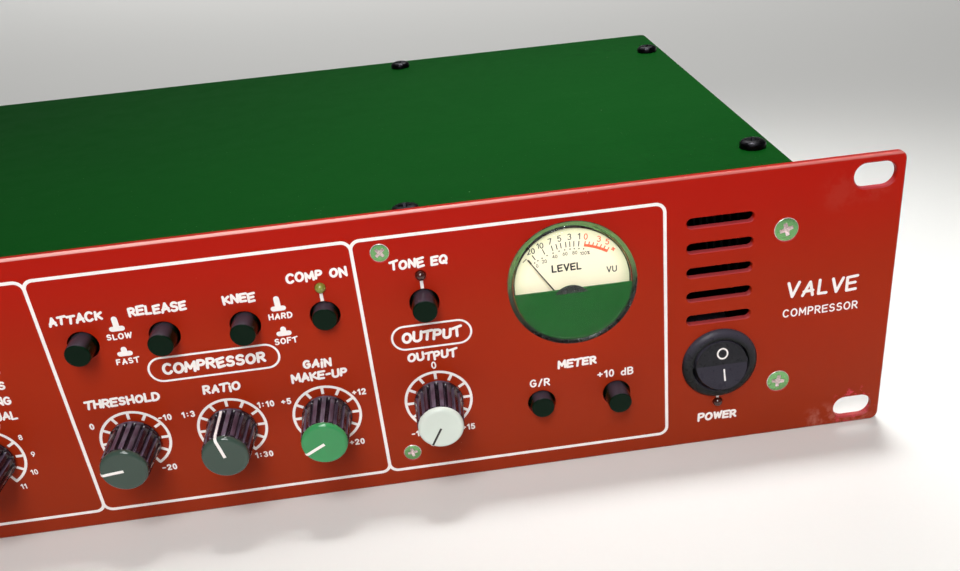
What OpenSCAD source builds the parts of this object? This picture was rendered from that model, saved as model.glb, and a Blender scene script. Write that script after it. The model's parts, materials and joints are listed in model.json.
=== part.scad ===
// Rack compressor, two rack units high, for a 19 inch rack.
// Millimetres. +Z is up, +X is to the right seen from the front, +Y goes into the case.
// The origin is the middle of the front panel's rear face, the plane that meets the rack rails.

/* [Front panel] */
// Width of the front panel
panel_w = 482.6; // [482:0.1:483]
// Height of the front panel: two rack units less a working gap
panel_h = 88.1; // [88:0.1:88.4]
// Thickness of the front panel
panel_t = 2; // [1.8:0.1:2.4]
// Corner radius of the front panel
panel_corner = 2.5; // [1:0.5:4]
// Width of the bevel round the front panel's front face
panel_edge = 0.6; // [0.2:0.1:0.8]
// Distance between the rack slots of the two ears
slot_pitch_x = 465.1; // [465:0.1:465.4]
// Distance between the upper and the lower rack slot of an ear
slot_pitch_z = 76.2; // [76.2:0.1:76.4]
// Length of a rack slot
slot_len = 12.2; // [10:0.2:12.6]
// Width of a rack slot
slot_w = 7.2; // [6.8:0.2:7.4]

/* [Case] */
// Width of the case behind the panel
case_w = 425; // [424:1:430]
// Depth of the case behind the panel
case_d = 194; // [190:1:210]
// Height of the cover's top face above the panel's middle
cover_top = 41; // [40.5:0.5:42]
// Thickness of the top cover
cover_t = 1.2; // [1:0.1:1.5]
// Sheet thickness of the tray
sheet = 1.5; // [1.2:0.1:2]

/* [Knobs] */
// Distance from the panel to the front face of a knob
knob_h = 15.6; // [13:0.1:18]
// Diameter of a knob at its base
knob_base_d = 14.5; // [14:0.1:16]
// Diameter of a knob's coloured cap
cap_d = 13; // [12:0.1:13.2]
// Flutes round a knob
flutes = 18; // [12:1:20]
// Height of the row of knobs above the panel's middle
knob_row_z = -15.7; // [-18:0.1:-14]

/* [Buttons] */
// Diameter of a button hole
button_hole_d = 8.5; // [8.2:0.1:9]
// Distance from the panel to the face of a button that is out
button_out = 6.2; // [5.5:0.1:7]
// Travel of a button
button_travel = 3; // [2:0.1:3.2]
// Height of the row of buttons above the panel's middle
button_row_z = 16.7; // [15:0.1:18]

/* [Meter] */
// Sideways place of the meter's middle
meter_x = 145.9; // [144:0.1:148]
// Height of the meter's middle
meter_z = 17.2; // [16:0.1:19]
// Radius of the meter's clear cover
meter_r = 18.4; // [18.2:0.1:18.6]
// Rest angle of the needle, measured from straight up
needle_rest = -33.5; // [-40:0.5:-25]

/* [Power switch] */
// Radius of the rocker's round bezel
rocker_bezel_r = 11.5; // [11.2:0.1:12]
// Tilt of the rocker each way
rocker_tilt = 13; // [10:0.5:14]

/* [Hidden] */

$fn = 64;
cut = 0.5;            // how far a cutting shape runs past the face it cuts
thread_gap = 0.03;    // between a screw's shank and its thread
front = -panel_t;     // Y of the panel's front face

// Each control's sideways place in its row
gain_x = -129.7;
preset_x = -25.7;
threshold_x = 15.75;
ratio_x = 43.6;
makeup_x = 71.2;
output_x = 104.1;
knob_xs = [gain_x, preset_x, threshold_x, ratio_x, makeup_x, output_x];
pot_xs = [gain_x, threshold_x, ratio_x, makeup_x, output_x];

phantom_x = -157;
pad_x = -129.7;
phase_x = -102.4;
attack_x = 10.4;
release_x = 32.4;
knee_x = 54.4;
comp_on_x = 76.4;
eq_x = 104.1;
row_button_xs = [phantom_x, pad_x, phase_x, attack_x, release_x, knee_x, comp_on_x, eq_x];
meter_button_xs = [134.6, 157.4];
meter_button_z = -21.3;

// Lamps as [x, z]
comp_on_lamp_at = [76.5, 25];
red_lamp_spots = [[phantom_x, 25], [eq_x, 25], [188.8, -29.4]];
lamp_r = 1.5;

rocker_at = [189.1, -15.6];
front_jack_at = [-189.1, -15.6];

// Ventilation slots beside the meter
vent_x = 188.65;
vent_len = 19.3;
vent_w = 3;
vent_pitch = 7.6;
vent_top_z = 30.3;

// Panel screws as [x, z]
large_screws = [for (x = [-207.8, 207.8], z = [-25, 25]) [x, z]];
small_screws = [for (x = [-94, 94], z = [-33, 33]) [x, z]];

// The tray's faces and flanges
tray_top = cover_top - cover_t;
tray_floor = -panel_h / 2 + sheet;
side_flange = 13.5;
rear_flange = 18;
front_flange = 10;
lip_bottom_z = -39;
lip_top_z = 36;
tab_w = 14;

// Cover screws as [x, y]
cover_screw_spots = [
    for (side = [-1, 1], spot = [[102.4, 4.4], [102.9, 182.4], [206.4, 25], [206.4, 161]])
        [side * spot.x, spot.y]
];
cover_head_r = 4;

// Boards: the control board stands behind the panel, the main board lies over the floor
board_t = 1.6;
control_y = 12;
main_z = tray_floor + 8;
main_x0 = -165;
main_x1 = 88;
main_y0 = 22;
main_y1 = 162;
spacer_spots = [for (x = [-168, -80, 0.5, 82], z = [-30.5, 30.5]) [x, z]];
standoff_spots = [for (x = [-158, -38, 80], y = [29, 155]) [x, y]];

// Rear wall
rear = case_d;
inlet_at = [168, -4];
microphone_at = [-172, -2];
output_at = [-136, -2];
rear_jack_spots = [for (x = [-104, -82, -60]) [x, -2]];
connector_depth = 22;
connector_floor = 16;
jack_bore_r = 3.2;
jack_bush_r = 4.7;

// Transformer and valves
transformer_at = [148, 108];
transformer_r = 45;
transformer_hole_r = 16;
transformer_h = 40;
valve_spots = [[30, 62], [62, 62]];
valve_r = 10.2;
socket_h = 9;

// ---------- shared shapes ----------

// Moves what follows to [x, z] on the panel
module at(spot) translate([spot[0], 0, spot[1]]) children();

// Round bar along Y from y0 to y1, r at y0 and r_end at y1
module rod(r, y0, y1, r_end = -1)
    translate([0, y0, 0])
        rotate([-90, 0, 0])
            cylinder(h = y1 - y0, r1 = r, r2 = r_end < 0 ? r : r_end);

// Block from y0 to y1, w wide and h high, centred on the Y axis
module block(w, h, y0, y1) translate([-w / 2, y0, -h / 2]) cube([w, y1 - y0, h]);

// Slot with round ends along X, through y0 to y1
module slot(length, width, y0, y1) {
    for (side = [-1, 1])
        translate([side * (length - width) / 2, 0, 0]) rod(width / 2, y0, y1);
    block(length - width, width, y0, y1);
}

// Rectangle with round corners
module round_rect(w, h, r) {
    square([w - 2 * r, h], center = true);
    square([w, h - 2 * r], center = true);
    for (x = [-1, 1], y = [-1, 1])
        translate([x * (w / 2 - r), y * (h / 2 - r)]) circle(r);
}

// Stands a flat outline up in the XZ plane, from y0 to y1
module plate(y0, y1)
    translate([0, y1, 0]) rotate([90, 0, 0]) linear_extrude(y1 - y0) children();

// Cross recess cut into a head's face at z = 0, for a screw that points down
module cross_recess(size, depth)
    for (turn = [0, 90])
        rotate([0, 0, turn]) translate([0, 0, -depth / 2 + cut / 2])
            cube([size, size * 0.2, depth + cut], center = true);

// Pan head screw pointing down, its head's seat at z = 0
module pan_screw(head_r, head_h, shank_r, length)
    difference() {
        union() {
            intersection() {
                cylinder(h = head_h, r = head_r);
                translate([0, 0, head_h - head_r * 2.1]) sphere(head_r * 2.1);
            }
            translate([0, 0, -length]) cylinder(h = length + cut, r = shank_r - thread_gap);
        }
        translate([0, 0, head_h]) cross_recess(head_r * 1.1, head_h * 0.6);
    }

// Countersunk screw pointing down, its face at z = 0
module flat_screw(head_r, shank_r, length)
    difference() {
        union() {
            translate([0, 0, shank_r - head_r])
                cylinder(h = head_r - shank_r, r1 = shank_r, r2 = head_r);
            translate([0, 0, -length]) cylinder(h = length - cut, r = shank_r - thread_gap);
        }
        cross_recess(head_r * 1.15, head_r * 0.3);
    }

// Widens the front edge of a slot that is cut through the panel
module slot_bevel(length, width, bevel) {
    r = width / 2;
    for (side = [-1, 1])
        translate([side * (length - width) / 2, 0, 0])
            rod(r + bevel + cut, front - cut, front + bevel, r);
    translate([-(length - width) / 2, 0, 0]) rotate([90, 0, 90])
        linear_extrude(length - width)
            polygon([[front - cut, -r - bevel - cut], [front - cut, r + bevel + cut],
                     [front + bevel, r], [front + bevel, -r]]);
}

// The hole that takes a countersunk screw through the panel
module countersink(head_r, shank_r) {
    rod(shank_r + 0.1, front - cut, cut);
    rod(head_r + 0.1 + cut, front - cut, front + head_r - shank_r, shank_r + 0.1);
}

// ---------- panel and case ----------

// The panel before its holes are cut: a round-cornered plate, bevelled all round its front face
module panel_blank() {
    bevel_end = front + panel_edge;
    straight_w = panel_w - 2 * panel_corner;
    straight_h = panel_h - 2 * panel_corner;
    narrow_w = panel_w / 2 - panel_edge;
    narrow_h = panel_h / 2 - panel_edge;
    plate(bevel_end, 0) round_rect(panel_w, panel_h, panel_corner);
    for (x = [-1, 1], z = [-1, 1])
        at([x * straight_w / 2, z * straight_h / 2])
            rod(panel_corner - panel_edge, front, bevel_end, panel_corner);
    translate([-straight_w / 2, 0, 0]) rotate([90, 0, 90])
        linear_extrude(straight_w)
            polygon([[front, -narrow_h], [front, narrow_h],
                     [bevel_end, panel_h / 2], [bevel_end, -panel_h / 2]]);
    translate([0, 0, -straight_h / 2])
        linear_extrude(straight_h)
            polygon([[-narrow_w, front], [narrow_w, front],
                     [panel_w / 2, bevel_end], [-panel_w / 2, bevel_end]]);
}

module front_panel()
    color("firebrick")
    difference() {
        panel_blank();
        for (x = [-1, 1], z = [-1, 1])
            at([x * slot_pitch_x / 2, z * slot_pitch_z / 2]) {
                slot(slot_len, slot_w, front - cut, cut);
                slot_bevel(slot_len, slot_w, 0.4);
            }
        for (x = knob_xs) at([x, knob_row_z]) rod(3.7, front - cut, cut);
        for (x = row_button_xs) at([x, button_row_z]) rod(button_hole_d / 2, front - cut, cut);
        for (x = meter_button_xs) at([x, meter_button_z]) rod(button_hole_d / 2, front - cut, cut);
        for (spot = concat([comp_on_lamp_at], red_lamp_spots))
            at(spot) rod(lamp_r + 0.1, front - cut, cut);
        at([meter_x, meter_z]) rod(meter_r - 0.5, front - cut, cut);
        at(rocker_at) rod(rocker_bezel_r - 1.5, front - cut, cut);
        at(front_jack_at) rod(jack_bush_r + 0.1, front - cut, cut);
        for (row = [0 : 4])
            at([vent_x, vent_top_z - row * vent_pitch]) {
                slot(vent_len, vent_w, front - cut, cut);
                slot_bevel(vent_len, vent_w, 0.25);
            }
        for (spot = large_screws) at(spot) countersink(3.65, 2);
        for (spot = small_screws) at(spot) countersink(2.75, 1.5);
    }

// Threaded holes that the cover screws bite into
module flange_holes()
    for (spot = cover_screw_spots)
        translate([spot.x, spot.y, tray_top - sheet - cut]) cylinder(h = sheet + 2 * cut, r = 2);

// Openings in the rear panel
module rear_cuts(y0, y1) {
    at(inlet_at) block(28, 34, y0, y1);
    for (spot = [[-20, 0], [20, 0]]) at(inlet_at + spot) rod(1.6, y0, y1);
    for (spot = [microphone_at, output_at]) {
        at(spot) rod(12, y0, y1);
        for (side = [-1, 1]) at(spot + side * [9.5, 12]) rod(1.6, y0, y1);
    }
    for (spot = rear_jack_spots) at(spot) rod(jack_bush_r + 0.1, y0, y1);
}

// Folded sheet: floor, sides with flanges under the cover, and a frame behind the front panel
module chassis_tray()
    color("dimgray")
    difference() {
        union() {
            difference() {
                translate([-case_w / 2, 0, -panel_h / 2])
                    cube([case_w, case_d, tray_top + panel_h / 2]);
                // the room inside, open to the rear
                translate([sheet - case_w / 2, sheet, tray_floor])
                    cube([case_w - 2 * sheet, case_d, tray_top - sheet - tray_floor]);
                // the mouth under the cover
                translate([side_flange - case_w / 2, front_flange, 0])
                    cube([case_w - 2 * side_flange, case_d, 60]);
                // the mouth behind the panel
                translate([side_flange - case_w / 2, -cut, lip_bottom_z])
                    cube([case_w - 2 * side_flange, sheet + cut, lip_top_z - lip_bottom_z]);
            }
            // tabs that the small panel screws bite into
            for (x = [-94, 94]) {
                translate([x - tab_w / 2, 0, -panel_h / 2 + 1]) cube([tab_w, sheet, 16]);
                translate([x - tab_w / 2, 0, 27.5]) cube([tab_w, sheet, 10]);
            }
        }
        for (spot = large_screws) at(spot) rod(2, -cut, sheet + cut);
        for (spot = small_screws) at(spot) rod(1.5, -cut, sheet + cut);
        flange_holes();
        // air slots low in both sides and in the floor under the valves
        for (side = [-1, 1], row = [0 : 7])
            translate([side * (case_w / 2 - sheet / 2), 50 + row * 9, 0])
                rotate([0, 90, 90]) slot(40, 3.2, -1, 1);
        for (row = [0 : 6])
            translate([46, 38 + row * 8, tray_floor - sheet / 2])
                rotate([90, 0, 0]) slot(60, 3.2, -1, 1);
    }

// Rear wall with a flange under the cover, standing between the tray's sides
module rear_panel()
    color("dimgray")
    difference() {
        union() {
            translate([sheet - case_w / 2, rear - sheet, tray_floor])
                cube([case_w - 2 * sheet, sheet, tray_top - sheet - tray_floor]);
            translate([side_flange - case_w / 2, rear - sheet, 0])
                cube([case_w - 2 * side_flange, sheet, tray_top]);
            translate([side_flange - case_w / 2, rear - rear_flange, tray_top - sheet])
                cube([case_w - 2 * side_flange, rear_flange, sheet]);
        }
        flange_holes();
        rear_cuts(rear - sheet - cut, rear + cut);
    }

module top_cover()
    color("darkgreen")
    difference() {
        translate([0, 0.3 + (case_d - 0.3) / 2, tray_top])
            linear_extrude(cover_t) round_rect(case_w, case_d - 0.3, 2.5);
        for (spot = cover_screw_spots)
            translate([spot.x, spot.y, tray_top - cut]) cylinder(h = cover_t + 2 * cut, r = 2.2);
    }

module cover_screws()
    color("black")
    for (spot = cover_screw_spots)
        translate([spot.x, spot.y, cover_top]) pan_screw(cover_head_r, 2.4, 2, 6);

// Countersunk screws through the panel: the large ones near the ears, the small ones further in
module panel_screws()
    color("silver") {
        for (spot = large_screws)
            at(spot) translate([0, front, 0]) rotate([90, 0, 0]) flat_screw(3.65, 2, 10);
        for (spot = small_screws)
            at(spot) translate([0, front, 0]) rotate([90, 0, 0]) flat_screw(2.75, 1.5, 8);
    }

// ---------- knobs ----------

// Knob with the spindle that turns with it. Its axis is Y, its front faces -Y.
module knob() {
    gap = 0.8;
    cap_t = 1.4;
    body_front = front - knob_h + cap_t;
    body_back = front - gap;
    base_r = knob_base_d / 2;
    color("black")
    difference() {
        union() {
            rod(cap_d / 2 + 0.2, body_front, body_back - 1, base_r - 0.2);
            rod(base_r, body_back - 1.2, body_back);
            rod(3 - 0.05, body_back - cut, 9);
        }
        rod(5.55, body_front - cut, body_front + 2);
        for (turn = [0 : flutes - 1])
            rotate([0, turn * 360 / flutes, 0])
                translate([0, 0, base_r]) rod(0.75, body_front - cut, body_back - 1.8);
    }
}

// Coloured cap pressed into a knob's front
module knob_cap(tint) {
    cap_t = 1.4;
    bevel = 0.4;
    face = front - knob_h;
    color(tint) {
        rod(cap_d / 2 - bevel, face, face + bevel, cap_d / 2);
        rod(cap_d / 2, face + bevel, face + cap_t);
        rod(5.5, face + cap_t - 0.01, face + cap_t + 1.9);
    }
}

module gain_knob() at([gain_x, knob_row_z]) knob();
module gain_cap() at([gain_x, knob_row_z]) knob_cap("lightgray");
module preset_knob() at([preset_x, knob_row_z]) knob();
module preset_cap() at([preset_x, knob_row_z]) knob_cap("orange");
module threshold_knob() at([threshold_x, knob_row_z]) knob();
module threshold_cap() at([threshold_x, knob_row_z]) knob_cap("slategray");
module ratio_knob() at([ratio_x, knob_row_z]) knob();
module ratio_cap() at([ratio_x, knob_row_z]) knob_cap("slategray");
module makeup_knob() at([makeup_x, knob_row_z]) knob();
module makeup_cap() at([makeup_x, knob_row_z]) knob_cap("mediumseagreen");
module output_knob() at([output_x, knob_row_z]) knob();
module output_cap() at([output_x, knob_row_z]) knob_cap("white");

// ---------- buttons ----------

// Push button, pushed in by the given amount. Its stem runs into the switch behind it.
module button(pushed) {
    face = front - button_out + pushed;
    back = 2.2 + pushed;
    bevel = 0.4;
    color("black") {
        rod(3, face, face + bevel, 3.4);
        rod(3.4, face + bevel, back, 3.8);
        rod(1.6, back - 0.01, back + 5.8);
    }
}

module phantom_button() at([phantom_x, button_row_z]) button(0);
module pad_button() at([pad_x, button_row_z]) button(0);
module phase_button() at([phase_x, button_row_z]) button(0);
module attack_button() at([attack_x, button_row_z]) button(0);
module release_button() at([release_x, button_row_z]) button(0);
module knee_button() at([knee_x, button_row_z]) button(0);
module comp_on_button() at([comp_on_x, button_row_z]) button(button_travel);
module eq_button() at([eq_x, button_row_z]) button(0);
module reduction_button() at([meter_button_xs[0], meter_button_z]) button(button_travel);
module range_button() at([meter_button_xs[1], meter_button_z]) button(0);

// ---------- behind the panel ----------

module control_board()
    color("darkolivegreen")
    difference() {
        union() {
            translate([-173, control_y, -35]) cube([291, board_t, 69]);
            translate([118, control_y, -35]) cube([52, board_t, 30]);
        }
        for (spot = spacer_spots) at(spot) rod(1.6, control_y - cut, control_y + board_t + cut);
    }

module control_board_spacers()
    color("silver")
    for (spot = spacer_spots)
        at(spot) {
            rod(2.6, 0, control_y);
            rod(1.5, control_y - cut, control_y + board_t + 2.5);
        }

// Threaded bush and case of a rotary control, open for the spindle
module rotary_case(w, round_case)
    difference() {
        union() {
            rod(3.5, front - 0.3, 6);
            if (round_case) rod(w / 2, 5, control_y);
            else block(w, w, 5, control_y);
        }
        rod(3.05, front - 1, 9.5);
    }

module potentiometers()
    color("steelblue")
    for (x = pot_xs) at([x, knob_row_z]) rotary_case(13, false);

module preset_switch()
    color("darkslategray")
    at([preset_x, knob_row_z]) rotary_case(25, true);

module push_switches()
    color("dimgray")
    for (spot = concat(
        [for (x = row_button_xs) [x, button_row_z]],
        [for (x = meter_button_xs) [x, meter_button_z]]))
        at(spot)
            difference() {
                block(8, 8, 5.6, control_y);
                rod(1.7, 5, 11.6);
            }

// Lamp with a domed lens, a collar behind the panel and two leads into the board
module lamp(lead_end) {
    rod(lamp_r, front, 3);
    translate([0, front, 0]) sphere(lamp_r);
    rod(1.9, 2, 3);
    for (x = [-0.9, 0.9]) translate([x, 0, 0]) rod(0.25, 2.9, lead_end);
}

module comp_on_lamp() color("olive") at(comp_on_lamp_at) lamp(control_y);

module red_lamps() color("darkred") for (spot = red_lamp_spots) at(spot) lamp(control_y);

// ---------- meter ----------

cover_depth = 3.6;
dial_face = -1.6;
mask_back = -3.7;
needle_y = -3.15;
needle_len = 21.1;
pivot_z = meter_z - 8.6;
pivot_x = meter_x - 0.5;

module meter_case()
    color("black")
    at([meter_x, meter_z])
        difference() {
            union() {
                rod(meter_r - 0.7, front, 18);
                for (x = [-7, 7]) translate([x, 0, 0]) rod(1.5, 17, 25);
            }
            rod(meter_r - 1.5, front - cut, -1);
            rod(meter_r - 3, -2, 16.5);
        }

module meter_dial()
    color("ivory")
    difference() {
        at([meter_x, meter_z]) rod(meter_r - 1.7, dial_face, -1);
        at([pivot_x, pivot_z]) rod(2.2, dial_face - cut, 0);
    }

module meter_cover()
    color("white", 0.3)
    at([meter_x, meter_z])
        difference() {
            union() {
                rod(meter_r - 0.8, front - cover_depth, front - cover_depth + 0.8, meter_r);
                rod(meter_r, front - cover_depth + 0.8, front);
            }
            rod(meter_r - 1.45, front - cover_depth + 1, front + cut);
        }

module meter_mask()
    color("seagreen")
    plate(mask_back - 0.6, mask_back) {
        intersection() {
            translate([meter_x, meter_z]) circle(meter_r - 1.6);
            translate([meter_x - 20, meter_z - 40]) square([40, 39]);
        }
        // low hump over the needle's pivot
        translate([pivot_x - 0.1, meter_z - 5.6]) circle(5.6);
    }

module meter_needle()
    color("black")
    translate([pivot_x, needle_y, pivot_z]) {
        rotate([0, needle_rest, 0])
            plate(-0.12, 0.12)
                polygon([[-0.3, -4], [0.3, -4], [0.11, needle_len], [-0.11, needle_len]]);
        rod(1.4, -0.25, 0.6);
        rod(0.6, 0.5, 9);
    }

// ---------- power switch ----------

rocker_r = 8.2;
rocker_gap = 0.2;
valley = 2.6;        // from the rocker's axis to the bottom of its V-shaped face
v_half_angle = 7;

module rocker_housing()
    color("black")
    at(rocker_at)
        difference() {
            union() {
                rod(rocker_bezel_r - 0.8, front - 1.9, front - 1.1, rocker_bezel_r);
                rod(rocker_bezel_r, front - 1.1, front);
                rod(rocker_bezel_r - 1.7, front - cut, 22);
                for (z = [-5, 0, 5]) translate([-3.1, 21, z - 0.4]) cube([6.2, 10, 0.8]);
            }
            rod(rocker_r + rocker_gap, front - 3, 10);
            translate([-10, front, 0]) rotate([0, 90, 0]) cylinder(h = 20, r = 1.27);
        }

module power_rocker()
    color("black")
    at(rocker_at) translate([0, front, 0])
        rotate([-rocker_tilt, 0, 0]) {
            difference() {
                sphere(rocker_r);
                for (side = [-1, 1])
                    translate([0, -valley, 0]) rotate([side * v_half_angle, 0, 0])
                        translate([-10, -10, side < 0 ? -10 : 0]) cube([20, 10, 10]);
                translate([-10, 3, -10]) cube([20, 10, 20]);
            }
            translate([-9.3, 0, 0]) rotate([0, 90, 0]) cylinder(h = 18.6, r = 1.2);
        }

// ---------- inside the case ----------

module main_board()
    color("darkgreen")
    difference() {
        translate([main_x0, main_y0, main_z]) cube([main_x1 - main_x0, main_y1 - main_y0, board_t]);
        for (spot = standoff_spots)
            translate([spot.x, spot.y, main_z - cut]) cylinder(h = board_t + 2 * cut, r = 1.6);
    }

module board_standoffs()
    color("silver")
    for (spot = standoff_spots)
        translate([spot.x, spot.y, tray_floor]) {
            cylinder(h = main_z - tray_floor, r = 3);
            cylinder(h = main_z - tray_floor + board_t + 2.5, r = 1.5);
        }

module toroidal_transformer()
    color("peru")
    translate([transformer_at.x, transformer_at.y, tray_floor + transformer_h / 2])
        rotate_extrude()
            translate([(transformer_r + transformer_hole_r) / 2, 0])
                round_rect(transformer_r - transformer_hole_r, transformer_h, 9);

module transformer_clamp()
    color("silver")
    translate([transformer_at.x, transformer_at.y, tray_floor]) {
        cylinder(h = transformer_h + 9, r = 3);
        translate([0, 0, transformer_h]) cylinder(h = 1.5, r = 32);
        translate([0, 0, transformer_h + 1.5]) cylinder(h = 5, r = 5.8, $fn = 6);
    }

module filter_capacitors()
    color("midnightblue")
    for (x = [-30, -8, 14], y = [120, 144])
        translate([x, y, main_z + board_t])
            difference() {
                cylinder(h = 30, r = 9);
                translate([0, 0, 4]) rotate_extrude() translate([9, 0]) circle(0.8);
            }

module heat_sink()
    color("silver")
    translate([38, 112, main_z + board_t]) {
        cube([44, 5, 32]);
        for (fin = [0 : 7]) translate([fin * 6, 5, 0]) cube([2, 18, 32]);
    }

module valves()
    color("white", 0.3)
    for (spot = valve_spots)
        translate([spot.x, spot.y, main_z + board_t + socket_h])
            difference() {
                union() {
                    cylinder(h = 44, r = valve_r);
                    intersection() {
                        translate([0, 0, 44]) sphere(valve_r);
                        cylinder(h = 51, r = valve_r);
                    }
                    translate([0, 0, 50]) cylinder(h = 4, r1 = 3, r2 = 1);
                }
                translate([0, 0, -cut]) cylinder(h = 44 + cut, r = valve_r - 1);
            }

module valve_sockets()
    color("linen")
    for (spot = valve_spots)
        translate([spot.x, spot.y, main_z + board_t])
            difference() {
                cylinder(h = socket_h, r = 11);
                for (pin = [1 : 9])
                    rotate([0, 0, pin * 36]) translate([6, 0, socket_h - 5]) cylinder(h = 6, r = 0.8);
            }

// Flat cable from the back of the control board, bent down on to the main board
module ribbon_cable() {
    bend = 5;
    bend_y = 19;
    bend_z = -24;
    ribbon = 1;
    color("lightgray")
    translate([-12, 0, 0]) {
        translate([0, control_y + board_t, bend_z + bend])
            cube([26, bend_y - control_y - board_t, ribbon]);
        intersection() {
            translate([0, bend_y, bend_z]) rotate([0, 90, 0])
                difference() {
                    cylinder(h = 26, r = bend + ribbon);
                    translate([0, 0, -cut]) cylinder(h = 27, r = bend);
                }
            translate([-1, bend_y, bend_z]) cube([28, 10, 10]);
        }
        translate([0, bend_y + bend, main_z + board_t])
            cube([26, ribbon, bend_z - main_z - board_t]);
    }
}

// ---------- rear wall ----------

// Recess that a mains lead's plug goes into, as an outline with its two upper corners cut off
module plug_outline(w, h, chamfer)
    polygon([[-w / 2, -h / 2], [w / 2, -h / 2], [w / 2, h / 2 - chamfer], [w / 2 - chamfer, h / 2],
             [chamfer - w / 2, h / 2], [-w / 2, h / 2 - chamfer]]);

inlet_recess_z = -6.5;
drawer_z = 10.5;

module mains_inlet()
    color("black")
    at(inlet_at)
        difference() {
            union() {
                plate(rear, rear + 2.5) round_rect(50, 38, 4);
                block(27.6, 33.6, rear - 26, rear + 0.5);
            }
            translate([0, 0, inlet_recess_z]) plate(rear - 17, rear + 3) plug_outline(24.4, 16.6, 4);
            translate([0, 0, drawer_z]) block(24.2, 9.2, rear - 21, rear + 3);
            for (side = [-1, 1]) translate([side * 20, 0, 0]) rod(1.7, rear - 1, rear + 3);
        }

module inlet_pins()
    color("silver")
    at(inlet_at + [0, inlet_recess_z])
        for (pin = [[-7, -1.8], [7, -1.8], [0, 2.2]])
            translate([pin[0], 0, pin[1]]) block(2, 4, rear - 17, rear - 2);

module fuse_drawer()
    color("black")
    at(inlet_at + [0, drawer_z]) {
        block(24, 9, rear - 20.9, rear + 2.4);
        block(9, 3, rear + 2.39, rear + 3.6);
    }

// Flange and tube of a round panel connector, its back reaching into the case
module round_connector_shell(opening_r)
    difference() {
        union() {
            plate(rear, rear + 2) round_rect(26, 31, 2.5);
            rod(11.9, rear - connector_depth, rear + 3);
        }
        rod(opening_r, rear - connector_depth - cut, rear + 4);
        for (side = [-1, 1]) translate([side * 9.5, 0, side * 12]) rod(1.7, rear - 1, rear + 3);
    }

// Insulator that closes the back of a round panel connector
module connector_insert(opening_r)
    rod(opening_r - 0.05, rear - connector_depth, rear - connector_floor);

// Third of the microphone insert's nose, round one contact hole
module contact_block()
    difference() {
        intersection() {
            rod(7.9, rear - connector_floor + 0.05, rear - 0.5);
            plate(rear - connector_floor, rear) polygon([[0.05, 0], [10, 17], [20, 0], [10, -17]]);
        }
        translate([5, 0, 0]) rod(1.3, rear - 14, rear + 1);
    }

module microphone_socket()
    color("dimgray")
    at(microphone_at) {
        difference() {
            round_connector_shell(9.7);
            translate([-3.6, rear + 0.1, 8]) cube([7.2, 9, 4.4]);
        }
        connector_insert(9.7);
        for (turn = [90, 210, 330]) rotate([0, turn, 0]) contact_block();
    }

module microphone_latch()
    color("silver")
    at(microphone_at) {
        translate([-3.4, rear + 0.3, 9.9]) cube([6.8, 4, 2.1]);
        translate([-1.6, rear + 1, 9]) cube([3.2, 1.6, 1]);
    }

module output_connector()
    color("dimgray")
    at(output_at) {
        round_connector_shell(9.2);
        connector_insert(9.2);
        for (turn = [90, 210, 330])
            rotate([0, turn, 0]) translate([5, 0, 0]) rod(1.2, rear - connector_floor - cut, rear - 3);
    }

// Jack socket along +Z: its wall's outer face is at z = 0
module jack_socket(wall)
    difference() {
        union() {
            translate([0, 0, -wall - 1.5]) cylinder(h = wall + 5.2, r = jack_bush_r);
            translate([-7, -8, -wall - 21.5]) cube([14, 16, 20.5]);
        }
        translate([0, 0, -wall - 19]) cylinder(h = 40, r = jack_bore_r);
    }

module jack_nut()
    difference() {
        cylinder(h = 2.2, r = 6.9, $fn = 6);
        translate([0, 0, -cut]) cylinder(h = 4, r = jack_bush_r + 0.03);
    }

module jack_sockets()
    color("black") {
        at(front_jack_at) translate([0, front, 0]) rotate([90, 0, 0]) jack_socket(panel_t);
        for (spot = rear_jack_spots)
            at(spot) translate([0, rear, 0]) rotate([-90, 0, 0]) jack_socket(sheet);
    }

module jack_nuts()
    color("silver") {
        at(front_jack_at) translate([0, front, 0]) rotate([90, 0, 0]) jack_nut();
        for (spot = rear_jack_spots) at(spot) translate([0, rear, 0]) rotate([-90, 0, 0]) jack_nut();
    }

module rear_screws()
    color("black") {
        for (side = [-1, 1])
            at(inlet_at + [side * 20, 0])
                translate([0, rear + 2.5, 0]) rotate([-90, 0, 0]) pan_screw(2.8, 2, 1.5, 6);
        for (spot = [microphone_at, output_at], side = [-1, 1])
            at(spot + side * [9.5, 12])
                translate([0, rear + 2, 0]) rotate([-90, 0, 0]) pan_screw(2.4, 1.6, 1.5, 6);
    }

front_panel();
chassis_tray();
rear_panel();
top_cover();
cover_screws();
panel_screws();
rear_screws();
control_board();
control_board_spacers();
potentiometers();
preset_switch();
push_switches();
comp_on_lamp();
red_lamps();
meter_case();
meter_dial();
meter_cover();
meter_mask();
meter_needle();
rocker_housing();
power_rocker();
main_board();
board_standoffs();
toroidal_transformer();
transformer_clamp();
filter_capacitors();
heat_sink();
valves();
valve_sockets();
mains_inlet();
inlet_pins();
fuse_drawer();
microphone_socket();
microphone_latch();
output_connector();
jack_sockets();
jack_nuts();
ribbon_cable();
gain_knob();
gain_cap();
preset_knob();
preset_cap();
threshold_knob();
threshold_cap();
ratio_knob();
ratio_cap();
makeup_knob();
makeup_cap();
output_knob();
output_cap();
phantom_button();
pad_button();
phase_button();
attack_button();
release_button();
knee_button();
comp_on_button();
eq_button();
reduction_button();
range_button();
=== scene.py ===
"""Rack compressor: the looks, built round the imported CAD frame. Metres, with MM for millimetre values."""
import json
import math
import random

import bmesh
import bpy
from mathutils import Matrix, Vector
from mathutils.bvhtree import BVHTree
from mathutils.geometry import delaunay_2d_cdt


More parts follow.
